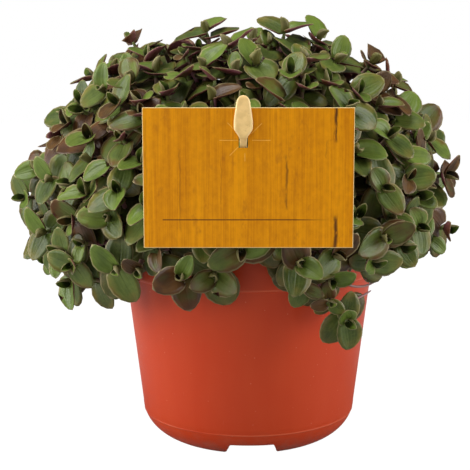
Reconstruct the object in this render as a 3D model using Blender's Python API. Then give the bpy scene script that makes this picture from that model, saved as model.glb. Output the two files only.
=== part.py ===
"""Turtle vine in a round nursery pot, with a plain card held on a stake.

Metres, +Z up. The origin is the middle of the whole box at the floor, and the card is on the -Y side.
Each leafy stem is one closed body: a stem rooted in the soil thickens into the tangle of old growth,
shoots leave it near its outer end, and every shoot carries folded blades and a bud.
"""

import math

import bmesh
import bpy
import numpy as np
from mathutils import Matrix, Vector
from mathutils.bvhtree import BVHTree

# The pot's axis, from the origin
POT_X = 0.0082
POT_Y = -0.0024

# Pot, turned about its axis
POT_HEIGHT = 0.098
RIM_RADIUS = 0.0604
RIM_LOW = 0.079
RIM_THICK = 0.0020
WALL_TOP_RADIUS = 0.0584
WALL_LOW_RADIUS = 0.0509
WALL_LOW = 0.016
WALL_THICK = 0.0016
CORNER_ACROSS = 0.0215
CORNER_DEEP = 0.0177
CORNER_STEPS = 4
INNER_CORNER = (0.0479, 0.0101)
FOOT_INNER_RADIUS = 0.0358
FLOOR_UNDER = 0.0070
FLOOR_TOP = 0.0088
FLOOR_RADIUS = 0.0464
CENTRE_HOLE = 0.006
POT_SIDES = 48
NOTCH_COUNT = 3
NOTCH_LOW_WIDTH = 0.0240
NOTCH_HIGH_WIDTH = 0.0193
NOTCH_HEIGHT = 0.0065
FRONT_NOTCH = math.radians(-88)
DRAIN_COUNT = 6
DRAIN_RADIUS = 0.0040
DRAIN_RING = 0.030
DRAIN_SIDES = 8

# Soil, with a plain hole for every stem and for the stake
FIT = 0.0003
SOIL_TOP = 0.0855
SOIL_MOUND = 0.0025
MOUND_RADII = (0.020, 0.042)
SOIL_SIDES = 30
HOLE_RADIUS = 0.0021
HOLE_SIDES = 6
ROOT_DEPTH = 0.0075

# Card and stake
CARD_WIDTH = 0.0825
CARD_HEIGHT = 0.055
CARD_THICK = 0.0006
CARD_Y = -0.092
CARD_LOW = 0.1036
SLOT_WIDTH = 0.0036
SLOT_LOW = 0.1430
SLOT_HIGH = 0.1473
STAKE_X = -0.002
STAKE_WIDTH = 0.0028
STAKE_THICK = 0.0014
STAKE_HOLE_RADIUS = 0.0024
HEAD_WIDTH = 0.0074
HEAD_LENGTH = 0.0160
STAKE_ROUTE = (
    (-0.0938, 0.1640),
    (-0.0938, 0.1490),
    (-0.0932, 0.1468),
    (-0.0920, 0.1450),
    (-0.0895, 0.1415),
    (-0.0800, 0.1250),
    (-0.0670, 0.1100),
    (-0.0555, 0.0985),
    (-0.0478, 0.0895),
    (-0.0476, 0.0560),
)

# Dome of shoot tips, round the pot's axis
DOME_X = 0.0970
DOME_FRONT = 0.081
DOME_BACK = 0.091
DOME_SHIFT = -0.0055
DOME_LEVEL = 0.107
DOME_RISE = 0.079
DOME_FULLNESS = 0.82
LOWEST_LIFT = -46.0
UNDERCUT = 0.28
HEM_DEGREES = (0, 45, 90, 135, 180, 208, 225, 245, 258, 275, 290, 303, 312, 328)
HEM_DROPS = (0.022, 0.030, 0.030, 0.032, 0.028, 0.036, 0.036, 0.024, 0.030, 0.012, 0.024, 0.038, 0.030, 0.018)
MEAN_DROP = 0.030

# Where the dome swells or sinks: azimuth and lift in degrees, how far it rises, and its reach in degrees
SWELLS = (
    (184, 5, 0.004, 9),
    (182, 22, -0.005, 10),
    (186, -12, -0.004, 8),
    (214, -46, 0.004, 12),
    (180, 47, 0.004, 9),
    (178, 66, 0.009, 9),
    (0, 46, 0.004, 14),
    (0, 3, -0.005, 9),
    (352, -14, 0.008, 8),
    (345, -48, -0.010, 18),
    (270, 84, 0.003, 25),
    (300, 55, 0.003, 12),
    (70, 20, 0.005, 18),
    (125, 35, -0.004, 16),
    (95, 55, 0.004, 16),
    (35, 5, -0.003, 16),
    (150, -5, 0.005, 16),
)

# Tips of the sprigs that stand out, round the pot's axis, each with room round it
SPRIGS = (
    (-0.0790, -0.0620, 0.0900),
    (-0.0575, -0.0745, 0.0905),
    (-0.0155, -0.0800, 0.0900),
    (-0.0600, -0.0690, 0.1120),
    (-0.1065, -0.0160, 0.1150),
    (-0.0900, -0.0380, 0.1260),
    (0.0590, -0.0640, 0.1030),
    (0.0930, -0.0240, 0.1010),
    (0.0770, -0.0450, 0.1130),
    (0.0383, -0.0740, 0.0690),
    (0.0335, -0.0760, 0.0780),
    (0.0240, -0.0770, 0.0840),
    (0.0590, -0.0600, 0.1240),
    (0.0860, -0.0120, 0.1420),
    (0.0690, -0.0070, 0.1690),
    (0.0330, -0.0120, 0.1860),
    (0.0080, -0.0270, 0.1860),
    (-0.0190, -0.0110, 0.1880),
    (-0.0560, -0.0030, 0.1880),
    (-0.0750, -0.0050, 0.1700),
    (-0.0590, -0.0430, 0.1610),
    (0.0020, 0.0140, 0.1860),
)
SPRIG_SPACE = 0.010
GOLDEN_TURN = math.pi * (3 - math.sqrt(5))

# Leafy stems
STEM_COUNT = 30
SHOOT_COUNT = 80
SEED = 8
STEM_PHASE = 2.4
SHOOT_PHASE = 0.9
SHOOTS_PER_STEM = 5
ROOT_RING = 0.047
COLLAR = 0.0015
FULL_DROOP = 0.046
STEM_RADIUS = 0.0014
TANGLE_PLACE = 0.8
TANGLE_SWELL = 1.2
TANGLE_LIFTS = (-46, -20, 20)
TANGLE_RADII = (0.0032, 0.0050, 0.0095)
RIM_SPARE = 0.0010
STEM_SIDES = 5
STEM_SHARES = (0.0, 0.20, 0.40, 0.62, 0.82, 1.0)
ROOT_SHARES = (0.96, 0.90, 0.82, 0.74, 0.66)
CURVE_STEPS = 24

# How a stem runs, at five lifts of its end: its lean there, its lean on the way in, how deep it ends
# under the dome, how far it rises straight up from the soil, and how far it runs straight at its end
STEM_LIFTS = (-46, -25, 0, 30, 90)
END_LEANS = (120, 104, 84, 52, 0)
ARRIVAL_LEANS = (166, 140, 96, 50, 0)
END_SINKS = (0.0145, 0.017, 0.019, 0.021, 0.022)
STEM_RISES = (0.037, 0.035, 0.030, 0.026, 0.020)
STEM_GRIPS = (0.042, 0.036, 0.030, 0.024, 0.020)
LEVEL_END_LEAN = 84
LEVEL_ARRIVAL_LEAN = 96
LEAST_GRIP = 0.010
SHOOT_HALF = 0.0014
LEAF_STEP = 0.0034
BUD_LENGTH = 0.0050

# Blades
LEAF_COUNT = 4
LEAF_OUTLINE = ((0, 0), (0.24, 0.90), (0.60, 0.86), (1, 0), (0.60, -0.86), (0.24, -0.90))
LEAF_LOW_Z = 0.060
LOW_LEAF = 0.0220
HIGH_LEAF = 0.0180
YOUNG_SHARE = 0.76
LEAF_WIDTH = 0.76
LEAF_THICK = 0.0009
LEAF_FOLD = 0.36
OLD_PITCH = 76.0
YOUNG_PITCH = 46.0
CLEAR = 0.0004
SHORTER = (1, 0.86)
TILTS = (0, -13, 12, -25)
SWINGS = (0, 13, -13, 26, -26)


def polar(azimuth, radius, height):
    """A point at an azimuth, a radius and a height."""
    return Vector((radius * math.cos(azimuth), radius * math.sin(azimuth), height))


def leaning(azimuth, degrees):
    """The unit direction at that many degrees from straight up, towards an azimuth."""
    lean = math.radians(degrees)
    return polar(azimuth, math.sin(lean), math.cos(lean))


def mesh_body(name, points, faces, matrix=None):
    """A new object from points and faces."""
    mesh = bpy.data.meshes.new(name)
    mesh.from_pydata([tuple(point) for point in points], [], faces)
    if matrix is not None:
        mesh.transform(matrix)
    body = bpy.data.objects.new(name, mesh)
    bpy.context.scene.collection.objects.link(body)
    return body


def tube(rings, ends=(None, None)):
    """Points and faces of a tube through rings of equal count, closed by flat caps or by end points."""
    sides = len(rings[0])
    points = [point for ring in rings for point in ring]
    faces = []
    for k in range(len(rings) - 1):
        for j in range(sides):
            a, b = k * sides + j, k * sides + (j + 1) % sides
            faces.append((a, b, b + sides, a + sides))
    last = (len(rings) - 1) * sides
    first_cap = list(reversed(range(sides)))
    last_cap = [last + j for j in range(sides)]
    for cap, end in ((first_cap, ends[0]), (last_cap, ends[1])):
        if end is None:
            faces.append(tuple(cap))
        else:
            points.append(end)
            faces += [(cap[j], cap[(j + 1) % sides], len(points) - 1) for j in range(sides)]
    return points, faces


def ring_about(centre, along, radius, sides, start):
    """A ring of points round a centre, square to the direction along, starting towards start."""
    across = (start - along * start.dot(along)).normalized()
    third = along.cross(across)
    turns = [2 * math.pi * j / sides for j in range(sides)]
    return [centre + (across * math.cos(turn) + third * math.sin(turn)) * radius for turn in turns]


def turned(name, profile, sides):
    """A closed solid turned from a closed (radius, height) outline that runs down its outer side."""
    turns = [2 * math.pi * k / sides for k in range(sides)]
    points = [polar(turn, radius, height) for turn in turns for radius, height in profile]
    count = len(profile)
    faces = []
    for k in range(sides):
        for j in range(count):
            a, b = k * count + j, k * count + (j + 1) % count
            c, d = ((k + 1) % sides) * count + (j + 1) % count, ((k + 1) % sides) * count + j
            faces.append((a, b, c, d))
    return mesh_body(name, points, faces)


def upright_prism(name, centre, radius, sides, low, high):
    """An upright prism with its centre at (x, y), from one height to another."""
    up = Vector((0, 0, 1))
    rings = []
    for height in (low, high):
        middle = Vector((centre.x, centre.y, height))
        rings.append(ring_about(middle, up, radius, sides, Vector((1, 0, 0))))
    return mesh_body(name, *tube(rings))


def cutter_group(name, cutters):
    """A collection of cutters, hidden from the render."""
    group = bpy.data.collections.new(name)
    bpy.context.scene.collection.children.link(group)
    for cutter in cutters:
        bpy.context.scene.collection.objects.unlink(cutter)
        group.objects.link(cutter)
        cutter.hide_render = True
        cutter.display_type = "WIRE"
    return group


def combine(body, others, operation):
    """Applies one Boolean of a body with a collection of others, then removes the collection."""
    group = cutter_group(body.name + "_group", others)
    boolean = body.modifiers.new("Boolean", "BOOLEAN")
    boolean.operand_type = "COLLECTION"
    boolean.collection = group
    boolean.operation = operation
    boolean.solver = "EXACT"
    shaped = bpy.data.meshes.new_from_object(body.evaluated_get(bpy.context.evaluated_depsgraph_get()))
    body.modifiers.clear()
    body.data = shaped
    shaped.name = body.name
    for other in list(group.objects):
        bpy.data.objects.remove(other)
    bpy.data.collections.remove(group)


def finish(body, colour, roughness, smooth_degrees=None):
    """Gives a body its material, its shading and its place."""
    paint = bpy.data.materials.new(body.name)
    paint.use_nodes = True
    shader = paint.node_tree.nodes["Principled BSDF"]
    shader.inputs["Base Color"].default_value = (*colour, 1)
    shader.inputs["Roughness"].default_value = roughness
    shader.inputs["Metallic"].default_value = 0
    body.data.materials.clear()
    body.data.materials.append(paint)
    if smooth_degrees is not None:
        body.data.shade_smooth()
        body.data.set_sharp_from_angle(angle=math.radians(smooth_degrees))
    body.location = (POT_X, POT_Y, 0)


def wall_inside(height):
    """The inner radius of the pot's wall at a height."""
    heights = (WALL_LOW, RIM_LOW, POT_HEIGHT)
    radii = (WALL_LOW_RADIUS - WALL_THICK, WALL_TOP_RADIUS - WALL_THICK, RIM_RADIUS - RIM_THICK)
    return float(np.interp(height, heights, radii))


def corner_points():
    """The outer outline of the rounded foot: an ellipse from the wall's lower end to the foot ring."""
    points = []
    for k in range(1, CORNER_STEPS + 1):
        turn = math.asin(WALL_LOW / CORNER_DEEP) * k / CORNER_STEPS
        radius = WALL_LOW_RADIUS - CORNER_ACROSS * (1 - math.cos(turn))
        points.append((radius, max(WALL_LOW - CORNER_DEEP * math.sin(turn), 0.0)))
    return points


def make_pot():
    """The pot: rim band, tapering wall, rounded foot with notches, and a floor with drain holes."""
    profile = (
        (RIM_RADIUS - 0.0006, POT_HEIGHT),
        (RIM_RADIUS, POT_HEIGHT - 0.0008),
        (WALL_TOP_RADIUS + 0.0006, RIM_LOW),
        (WALL_TOP_RADIUS, RIM_LOW - 0.0005),
        (WALL_LOW_RADIUS, WALL_LOW),
        *corner_points(),
        (FOOT_INNER_RADIUS, 0),
        (FOOT_INNER_RADIUS - 0.0004, FLOOR_UNDER),
        (CENTRE_HOLE, FLOOR_UNDER),
        (CENTRE_HOLE, FLOOR_TOP),
        (FLOOR_RADIUS, FLOOR_TOP),
        INNER_CORNER,
        (wall_inside(WALL_LOW), WALL_LOW),
        (wall_inside(RIM_LOW), RIM_LOW),
        (wall_inside(POT_HEIGHT), POT_HEIGHT - 0.0006),
        (wall_inside(POT_HEIGHT) + 0.0005, POT_HEIGHT),
    )
    pot = turned("pot", profile, POT_SIDES)
    cutters = []
    for k in range(NOTCH_COUNT):
        azimuth = FRONT_NOTCH + 2 * math.pi * k / NOTCH_COUNT
        outward, aside = polar(azimuth, 1, 0), polar(azimuth + math.pi / 2, 1, 0)
        rings = []
        for radius in (FOOT_INNER_RADIUS - 0.002, WALL_LOW_RADIUS + 0.002):
            corners = (
                (-NOTCH_LOW_WIDTH / 2, -0.001),
                (NOTCH_LOW_WIDTH / 2, -0.001),
                (NOTCH_HIGH_WIDTH / 2, NOTCH_HEIGHT),
                (-NOTCH_HIGH_WIDTH / 2, NOTCH_HEIGHT),
            )
            rings.append([outward * radius + aside * x + Vector((0, 0, z)) for x, z in corners])
        cutters.append(mesh_body("notch_cutter", *tube(rings)))
    for k in range(DRAIN_COUNT):
        centre = polar(2 * math.pi * (k + 0.5) / DRAIN_COUNT, DRAIN_RING, 0)
        low, high = FLOOR_UNDER - 0.002, FLOOR_TOP + 0.002
        cutters.append(upright_prism("drain_cutter", centre, DRAIN_RADIUS, DRAIN_SIDES, low, high))
    combine(pot, cutters, "DIFFERENCE")
    finish(pot, (0.515, 0.070, 0.030), 0.42, 30)
    return pot


def soil_height(radius):
    """The height of the soil's mounded top at a radius."""
    return SOIL_TOP + SOIL_MOUND * (1 - (radius / wall_inside(SOIL_TOP)) ** 2)


def make_soil(feet):
    """The root ball, clear of the pot by the fit, with a hole round every foot and the stake."""
    floor = FLOOR_TOP + FIT
    edge = [(wall_inside(height) - FIT, height) for height in (SOIL_TOP, RIM_LOW, WALL_LOW)]
    edge.append((FLOOR_RADIUS - 0.0015, floor))
    mound = [(radius, soil_height(radius)) for radius in MOUND_RADII]
    down, aside = Vector((0, 0, -1)), Vector((1, 0, 0))
    rings = [ring_about(Vector((0, 0, z)), down, radius, SOIL_SIDES, aside) for radius, z in mound + edge]
    soil = mesh_body("soil", *tube(rings, (Vector((0, 0, soil_height(0))), None)))
    cutters = []
    for foot in feet:
        low = foot.z - FIT
        cutters.append(upright_prism("hole_cutter", foot, HOLE_RADIUS, HOLE_SIDES, low, SOIL_TOP + 0.02))
    stake_foot = Vector((STAKE_X, STAKE_ROUTE[-1][0], 0))
    low = STAKE_ROUTE[-1][1] - FIT
    cutters.append(upright_prism("stake_hole_cutter", stake_foot, STAKE_HOLE_RADIUS, 8, low, SOIL_TOP + 0.02))
    combine(soil, cutters, "DIFFERENCE")
    finish(soil, (0.040, 0.024, 0.015), 0.9)
    return soil


def make_card():
    """The card: a thin upright plate with a slot for the stake."""
    half_x, half_y = CARD_WIDTH / 2, CARD_THICK / 2
    rings = []
    for y in (CARD_Y + half_y, CARD_Y - half_y):
        corners = ((-half_x, 0), (half_x, 0), (half_x, CARD_HEIGHT), (-half_x, CARD_HEIGHT))
        rings.append([Vector((x, y, CARD_LOW + z)) for x, z in corners])
    card = mesh_body("tag_card", *tube(rings))
    rings = []
    for y in (CARD_Y + 0.003, CARD_Y - 0.003):
        left, right = STAKE_X - SLOT_WIDTH / 2, STAKE_X + SLOT_WIDTH / 2
        corners = ((left, SLOT_LOW), (right, SLOT_LOW), (right, SLOT_HIGH), (left, SLOT_HIGH))
        rings.append([Vector((x, y, z)) for x, z in corners])
    combine(card, [mesh_body("slot_cutter", *tube(rings))], "DIFFERENCE")
    finish(card, (0.610, 0.242, 0.020), 0.55)
    return card


def stake_half_width(travelled):
    """Half the stake's width at a distance from its top: a rounded head, then a narrow leg."""
    if travelled < HEAD_LENGTH:
        share = travelled / HEAD_LENGTH
        return HEAD_WIDTH / 2 * max(0.62, math.sin(math.pi * (0.18 + 0.62 * share)))
    return STAKE_WIDTH / 2


def make_stake():
    """The stake: a flat strip along its route, wider at the head that holds the card."""
    route = [Vector((STAKE_X, y, z)) for y, z in STAKE_ROUTE]
    extra = [route[0].lerp(route[1], share) for share in (0.15, 0.45, 0.8)]
    route = [route[0]] + extra + route[1:]
    rings = []
    travelled = 0.0
    for k, point in enumerate(route):
        if k:
            travelled += (point - route[k - 1]).length
        along = (route[min(k + 1, len(route) - 1)] - route[max(k - 1, 0)]).normalized()
        aside = Vector((1, 0, 0))
        face = along.cross(aside)
        half = stake_half_width(travelled)
        corners = ((-half, -1), (half, -1), (half, 1), (-half, 1))
        rings.append([point + aside * x + face * (y * STAKE_THICK / 2) for x, y in corners])
    stake = mesh_body("tag_stake", *tube(rings))
    finish(stake, (0.80, 0.72, 0.50), 0.5)
    return stake


def hem_drop(azimuth):
    """How far the lowest shoots hang below the dome's widest level, at an azimuth."""
    return float(np.interp(math.degrees(azimuth) % 360, HEM_DEGREES, HEM_DROPS, period=360))


def dome_point(lift, azimuth):
    """The point of the dome at an angle lift above its widest level."""
    reach = DOME_RISE if lift > 0 else hem_drop(azimuth)
    shrink = math.cos(lift) ** DOME_FULLNESS if lift > 0 else 1 - UNDERCUT * (1 - math.cos(lift))
    depth = DOME_BACK
    if math.sin(azimuth) < 0:
        depth = float(np.interp(math.degrees(lift), (-25, -3), (DOME_BACK, DOME_FRONT)))
    point = Vector((
        DOME_SHIFT * shrink + DOME_X * shrink * math.cos(azimuth),
        depth * shrink * math.sin(azimuth),
        DOME_LEVEL + reach * math.sin(lift),
    ))
    outward = leaning(azimuth, 90 - math.degrees(lift))
    for swell_azimuth, swell_lift, rise, swell_reach in SWELLS:
        apart = math.degrees(outward.angle(leaning(math.radians(swell_azimuth), 90 - swell_lift)))
        point += outward * rise * math.exp(-((apart / swell_reach) ** 2))
    return point


def spread(count, phase):
    """(share, lift, azimuth) spread evenly over the dome by area, on a golden spiral from its top."""
    lifts = np.radians(np.linspace(90, LOWEST_LIFT, 200))
    radii = DOME_X * np.where(lifts > 0, np.cos(lifts), 1 - UNDERCUT * (1 - np.cos(lifts)))
    heights = np.where(lifts > 0, DOME_RISE, MEAN_DROP) * np.sin(lifts)
    bands = (radii[1:] + radii[:-1]) * np.hypot(np.diff(radii), np.diff(heights))
    areas = np.concatenate([[0], np.cumsum(bands)])
    shares = (np.arange(count) + 0.5) / count
    found = np.interp(shares * areas[-1], areas, lifts)
    return [(shares[k], found[k], phase + k * GOLDEN_TURN) for k in range(count)]


def bezier(points, share):
    """The point of a cubic curve at a share of its way."""
    a, b, c, d = points
    rest = 1 - share
    return a * rest**3 + b * (3 * rest * rest * share) + c * (3 * rest * share * share) + d * share**3


def stem_curve(share, lift, azimuth):
    """A stem's cubic curve, from where it leaves the soil to its outer end under the dome."""
    degrees = math.degrees(lift)
    end_lean, arrival_lean, sink, rise, grip = (
        float(np.interp(degrees, STEM_LIFTS, values))
        for values in (END_LEANS, ARRIVAL_LEANS, END_SINKS, STEM_RISES, STEM_GRIPS)
    )
    if lift < 0:
        droop = min(hem_drop(azimuth) / FULL_DROOP, 1)
        end_lean = LEVEL_END_LEAN + (end_lean - LEVEL_END_LEAN) * droop
        arrival_lean = LEVEL_ARRIVAL_LEAN + (arrival_lean - LEVEL_ARRIVAL_LEAN) * droop
    radius = ROOT_RING * math.sqrt(share)
    collar = polar(azimuth, radius, soil_height(radius) + COLLAR)
    end = dome_point(lift, azimuth) - leaning(azimuth, end_lean) * sink
    if arrival_lean > 60:
        room = math.hypot(end.x, end.y) - radius - 0.002
        grip = min(grip, max(room, LEAST_GRIP) / math.sin(math.radians(arrival_lean)))
    return collar, collar + Vector((0, 0, rise)), end - leaning(azimuth, arrival_lean) * grip, end


def stem_feet():
    """The foot of every stem, in the soil."""
    feet = []
    for share, _, azimuth in spread(STEM_COUNT, STEM_PHASE):
        radius = ROOT_RING * math.sqrt(share)
        feet.append(polar(azimuth, radius, soil_height(radius) - ROOT_DEPTH))
    return feet


class Growth:
    """What already stands, as (owner, centre, reach, tree) of every placed shape."""

    def __init__(self):
        self.placed = []

    def add(self, owner, points, faces):
        """Remembers a placed shape."""
        centre = sum(points, Vector()) / len(points)
        reach = max((point - centre).length for point in points)
        self.placed.append((owner, centre, reach, BVHTree.FromPolygons(points, faces)))

    def is_free(self, points, faces, ignored=()):
        """Whether a shape crosses nothing that is placed, apart from the owners ignored."""
        centre = sum(points, Vector()) / len(points)
        reach = max((point - centre).length for point in points)
        tree = None
        for owner, other_centre, other_reach, other_tree in self.placed:
            if owner in ignored or (other_centre - centre).length > reach + other_reach:
                continue
            tree = tree or BVHTree.FromPolygons(points, faces)
            if tree.overlap(other_tree):
                return False
        return True


def room_round(point, own, curves):
    """The largest radius that a stem may have at a point, clear of other stems, pot, soil and stake."""
    others = [(other - point).length for k, curve in enumerate(curves) if k != own for other in curve]
    radius = math.hypot(point.x, point.y)
    rim_middle = RIM_RADIUS - RIM_THICK / 2
    rim_gap = math.hypot(radius - rim_middle, max(point.z - POT_HEIGHT, 0)) - RIM_THICK / 2 - RIM_SPARE
    room = min(min(others) / 2, rim_gap)
    if radius < RIM_RADIUS:
        room = min(room, point.z - soil_height(radius))
    return room - CLEAR


def stem_body(foot, curve, lift, own, curves):
    """Points and faces of a stem: a foot in its hole, a swelling tangle, and a narrower end."""
    route = [foot] + [bezier(curve, share) for share in STEM_SHARES]
    tangle = float(np.interp(math.degrees(lift), TANGLE_LIFTS, TANGLE_RADII))
    aside = Vector((0, 0, 1)).cross(curve[3] - foot).normalized()
    rings = [ring_about(point, Vector((0, 0, 1)), STEM_RADIUS, STEM_SIDES, aside) for point in route[:2]]
    for k in range(2, len(route)):
        along = (route[min(k + 1, len(route) - 1)] - route[k - 1]).normalized()
        swell = math.sin(math.pi * STEM_SHARES[k - 1] * TANGLE_PLACE) ** TANGLE_SWELL
        radius = STEM_RADIUS + (tangle - STEM_RADIUS) * swell
        radius = max(min(radius, room_round(route[k], own, curves)), STEM_RADIUS)
        rings.append(ring_about(route[k], along, radius, STEM_SIDES, aside))
    return tube(rings)


def shoot_corners(root, tip, start):
    """The offsets of a shoot's three corner lines from its axis."""
    along = (tip - root).normalized()
    return ring_about(Vector(), along, SHOOT_HALF, 3, start)


def blade_body(base, outward, upward, length, spare=0.0):
    """Points and faces of a folded blade: an oval with a pointed tip, its halves raised from the midrib."""
    aside = upward.cross(outward).normalized()
    upward = outward.cross(aside).normalized()
    half = length * LEAF_WIDTH / 2
    points = []
    for lift in (LEAF_THICK / 2 + spare, -LEAF_THICK / 2 - spare):
        for x, y in LEAF_OUTLINE:
            rise = LEAF_FOLD * abs(y * half) + lift
            points.append(base + outward * (x * length) + aside * (y * half) + upward * rise)
    faces = [(0, 2, 1), (0, 3, 2), (0, 4, 3), (0, 5, 4), (6, 7, 8), (6, 8, 9), (6, 9, 10), (6, 10, 11)]
    faces += [(k, (k + 1) % 6, 6 + (k + 1) % 6, 6 + k) for k in range(6)]
    return points, faces


def zipped(left, right, points):
    """Triangles between two chains of point numbers, each next one at the lower of the two next heights."""
    faces = []
    i, j = 0, 0
    while i < len(left) - 1 or j < len(right) - 1:
        left_open, right_open = i < len(left) - 1, j < len(right) - 1
        if left_open and (not right_open or points[left[i + 1]][1] < points[right[j + 1]][1]):
            faces.append((left[i], right[j], left[i + 1]))
            i += 1
        else:
            faces.append((left[i], right[j], right[j + 1]))
            j += 1
    return faces


def leafy_shoot(root, tip, start, blades):
    """Points and faces of a three-sided shoot with a bud, its blades grown out of its sides.

    Each blade is (side, height, outer points), and its base is a strip right across that side.
    """
    along = (tip - root).normalized()
    corners = shoot_corners(root, tip, start)
    shoulder = (tip - root).length - BUD_LENGTH
    points = []
    chains = []
    for corner in corners:
        points.append((root + corner, 0.0))
        chains.append([len(points) - 1])
    strips = [[] for _ in corners]
    faces = []
    for side, height, outer in sorted(blades, key=lambda blade: blade[1]):
        first = len(points)
        left, right = side, (side + 1) % 3
        for level in (height - LEAF_THICK * 0.6, height + LEAF_THICK * 0.6):
            for corner in (left, right):
                points.append((root + corners[corner] + along * level, level))
                chains[corner].append(len(points) - 1)
        low_left, low_right, high_left, high_right = range(first, first + 4)
        strips[side].append((low_left, low_right, high_left, high_right))
        points += [(point, None) for point in outer]
        top = [high_right] + list(range(first + 4, first + 9)) + [high_left]
        low = [low_right] + list(range(first + 9, first + 14)) + [low_left]
        for a, b, c in ((0, 1, 2), (0, 2, 3), (0, 3, 6), (6, 3, 4), (6, 4, 5)):
            faces += [(top[a], top[c], top[b]), (low[a], low[b], low[c])]
        for k in range(6):
            faces += [(top[k], low[k + 1], low[k]), (top[k], top[k + 1], low[k + 1])]
    ends = []
    for chain, corner in zip(chains, corners):
        points.append((root + corner + along * shoulder, shoulder))
        chain.append(len(points) - 1)
        ends.append(len(points) - 1)
    for side in range(3):
        left, right = chains[side], chains[(side + 1) % 3]
        bounds = [(left[0], right[0])]
        for low_left, low_right, high_left, high_right in strips[side]:
            bounds += [(low_left, low_right), (high_left, high_right)]
        bounds.append((left[-1], right[-1]))
        for (a, b), (c, d) in zip(bounds[::2], bounds[1::2]):
            left_part = left[left.index(a):left.index(c) + 1]
            right_part = right[right.index(b):right.index(d) + 1]
            faces += zipped(left_part, right_part, points)
    points.append((tip, None))
    faces += [(ends[k], ends[(k + 1) % 3], len(points) - 1) for k in range(3)]
    faces.append((chains[2][0], chains[1][0], chains[0][0]))
    return [point for point, _ in points], faces


def place_blade(growth, owner, base, along, across, pitch, length):
    """The first blade that is clear of what stands, of those turned, tilted or shortened a little."""
    for shorter in SHORTER:
        for tilt in TILTS:
            for swing in SWINGS:
                aim = Matrix.Rotation(math.radians(swing), 3, along) @ across
                lean = math.radians(pitch + tilt)
                outward = aim * math.sin(lean) + along * math.cos(lean)
                upward = along * math.sin(lean) - aim * math.cos(lean)
                test = blade_body(base + outward * SHOOT_HALF, outward, upward, length * shorter, CLEAR)
                if growth.is_free(*test, ignored=(owner,)):
                    return test, blade_body(base, outward, upward, length * shorter)[0]
    return None


def grow_blades(growth, owner, root, tip, start, rng):
    """The blades of one shoot, as (side, height, outer points), from its foot to its bud."""
    along = (tip - root).normalized()
    corners = shoot_corners(root, tip, start)
    full = (tip - root).length
    high = min(max((tip.z - LEAF_LOW_Z) / (DOME_LEVEL + DOME_RISE - LEAF_LOW_Z), 0), 1)
    blades = []
    for k in range(LEAF_COUNT):
        age = 1 - k / (LEAF_COUNT - 1)
        height = full - BUD_LENGTH - LEAF_THICK - LEAF_STEP * (LEAF_COUNT - 1 - k)
        length = (LOW_LEAF + (HIGH_LEAF - LOW_LEAF) * high) * (YOUNG_SHARE + (1 - YOUNG_SHARE) * age)
        length *= rng.uniform(0.93, 1.05)
        pitch = YOUNG_PITCH + (OLD_PITCH - YOUNG_PITCH) * age + rng.uniform(-5, 5)
        side = k % 3
        middle = (corners[side] + corners[(side + 1) % 3]) / 2
        base = root + middle + along * height
        found = place_blade(growth, owner, base, along, middle.normalized(), pitch, length)
        if found:
            test, points = found
            growth.add((owner, "blade"), *test)
            blades.append((side, height, points[1:6] + points[7:12]))
    return blades


def share_tips(tips, ends):
    """(stem, tip) pairs: every stem has its nearest tip, then each further tip goes to its nearest stem."""
    pairs = []
    left = set(range(len(tips)))
    for stem in reversed(range(len(ends))):
        nearest = min(left, key=lambda k: (tips[k] - ends[stem]).length)
        left.remove(nearest)
        pairs.append((stem, tips[nearest]))
    for k in sorted(left):
        counts = [sum(1 for stem, _ in pairs if stem == other) for other in range(len(ends))]
        open_stems = [stem for stem in range(len(ends)) if counts[stem] < SHOOTS_PER_STEM]
        pairs.append((min(open_stems, key=lambda stem: (tips[k] - ends[stem]).length), tips[k]))
    return pairs


def grow_vines(obstacles):
    """All leafy stems, each joined into one body."""
    rng = np.random.default_rng(SEED)
    growth = Growth()
    for obstacle in obstacles:
        points = [vertex.co.copy() for vertex in obstacle.data.vertices]
        growth.add(obstacle.name, points, [tuple(face.vertices) for face in obstacle.data.polygons])
    stems = spread(STEM_COUNT, STEM_PHASE)
    curves = [stem_curve(*stem) for stem in stems]
    sampled = [[bezier(curve, k / CURVE_STEPS) for k in range(CURVE_STEPS + 1)] for curve in curves]
    stake = [Vector((STAKE_X, y, z)) for y, z in STAKE_ROUTE[2:]]
    sampled.append([a.lerp(b, k / 8) for a, b in zip(stake, stake[1:]) for k in range(8)])
    bodies = []
    for k, (curve, foot) in enumerate(zip(curves, stem_feet())):
        bodies.append([stem_body(foot, curve, stems[k][1], k, sampled)])
        growth.add(k, *bodies[k][0])
    sprigs = [Vector(sprig) for sprig in SPRIGS]
    even = [dome_point(lift, azimuth) for _, lift, azimuth in spread(SHOOT_COUNT, SHOOT_PHASE)]
    even = [tip for tip in even if min((tip - sprig).length for sprig in sprigs) > SPRIG_SPACE]
    tips = sprigs + even
    shoots = []
    for stem, tip in share_tips(tips, [curve[3] for curve in curves]):
        for share in ROOT_SHARES:
            root = bezier(curves[stem], share)
            start = leaning(rng.uniform(0, 2 * math.pi), 80)
            body = leafy_shoot(root, tip, start, [])
            long_enough = (tip - root).length > BUD_LENGTH + LEAF_STEP * LEAF_COUNT
            if long_enough and growth.is_free(*body, ignored=(stem,)):
                growth.add(stem, *body)
                shoots.append((stem, root, tip, start))
                break
    for stem, root, tip, start in shoots:
        blades = grow_blades(growth, stem, root, tip, start, rng)
        bodies[stem].append(leafy_shoot(root, tip, start, blades))
    for k, shapes in enumerate(bodies):
        vine = mesh_body(f"vine_{k + 1:02d}", *shapes[0])
        combine(vine, [mesh_body("vine_shape", *shape) for shape in shapes[1:]], "UNION")
        finish(vine, (0.105, 0.175, 0.065), 0.45)


def clear_scene():
    """Removes every object that the scene starts with."""
    for thing in list(bpy.data.objects):
        bpy.data.objects.remove(thing)


def main():
    clear_scene()
    pot = make_pot()
    soil = make_soil(stem_feet())
    card = make_card()
    stake = make_stake()
    grow_vines([pot, soil, card, stake])


main()
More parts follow.
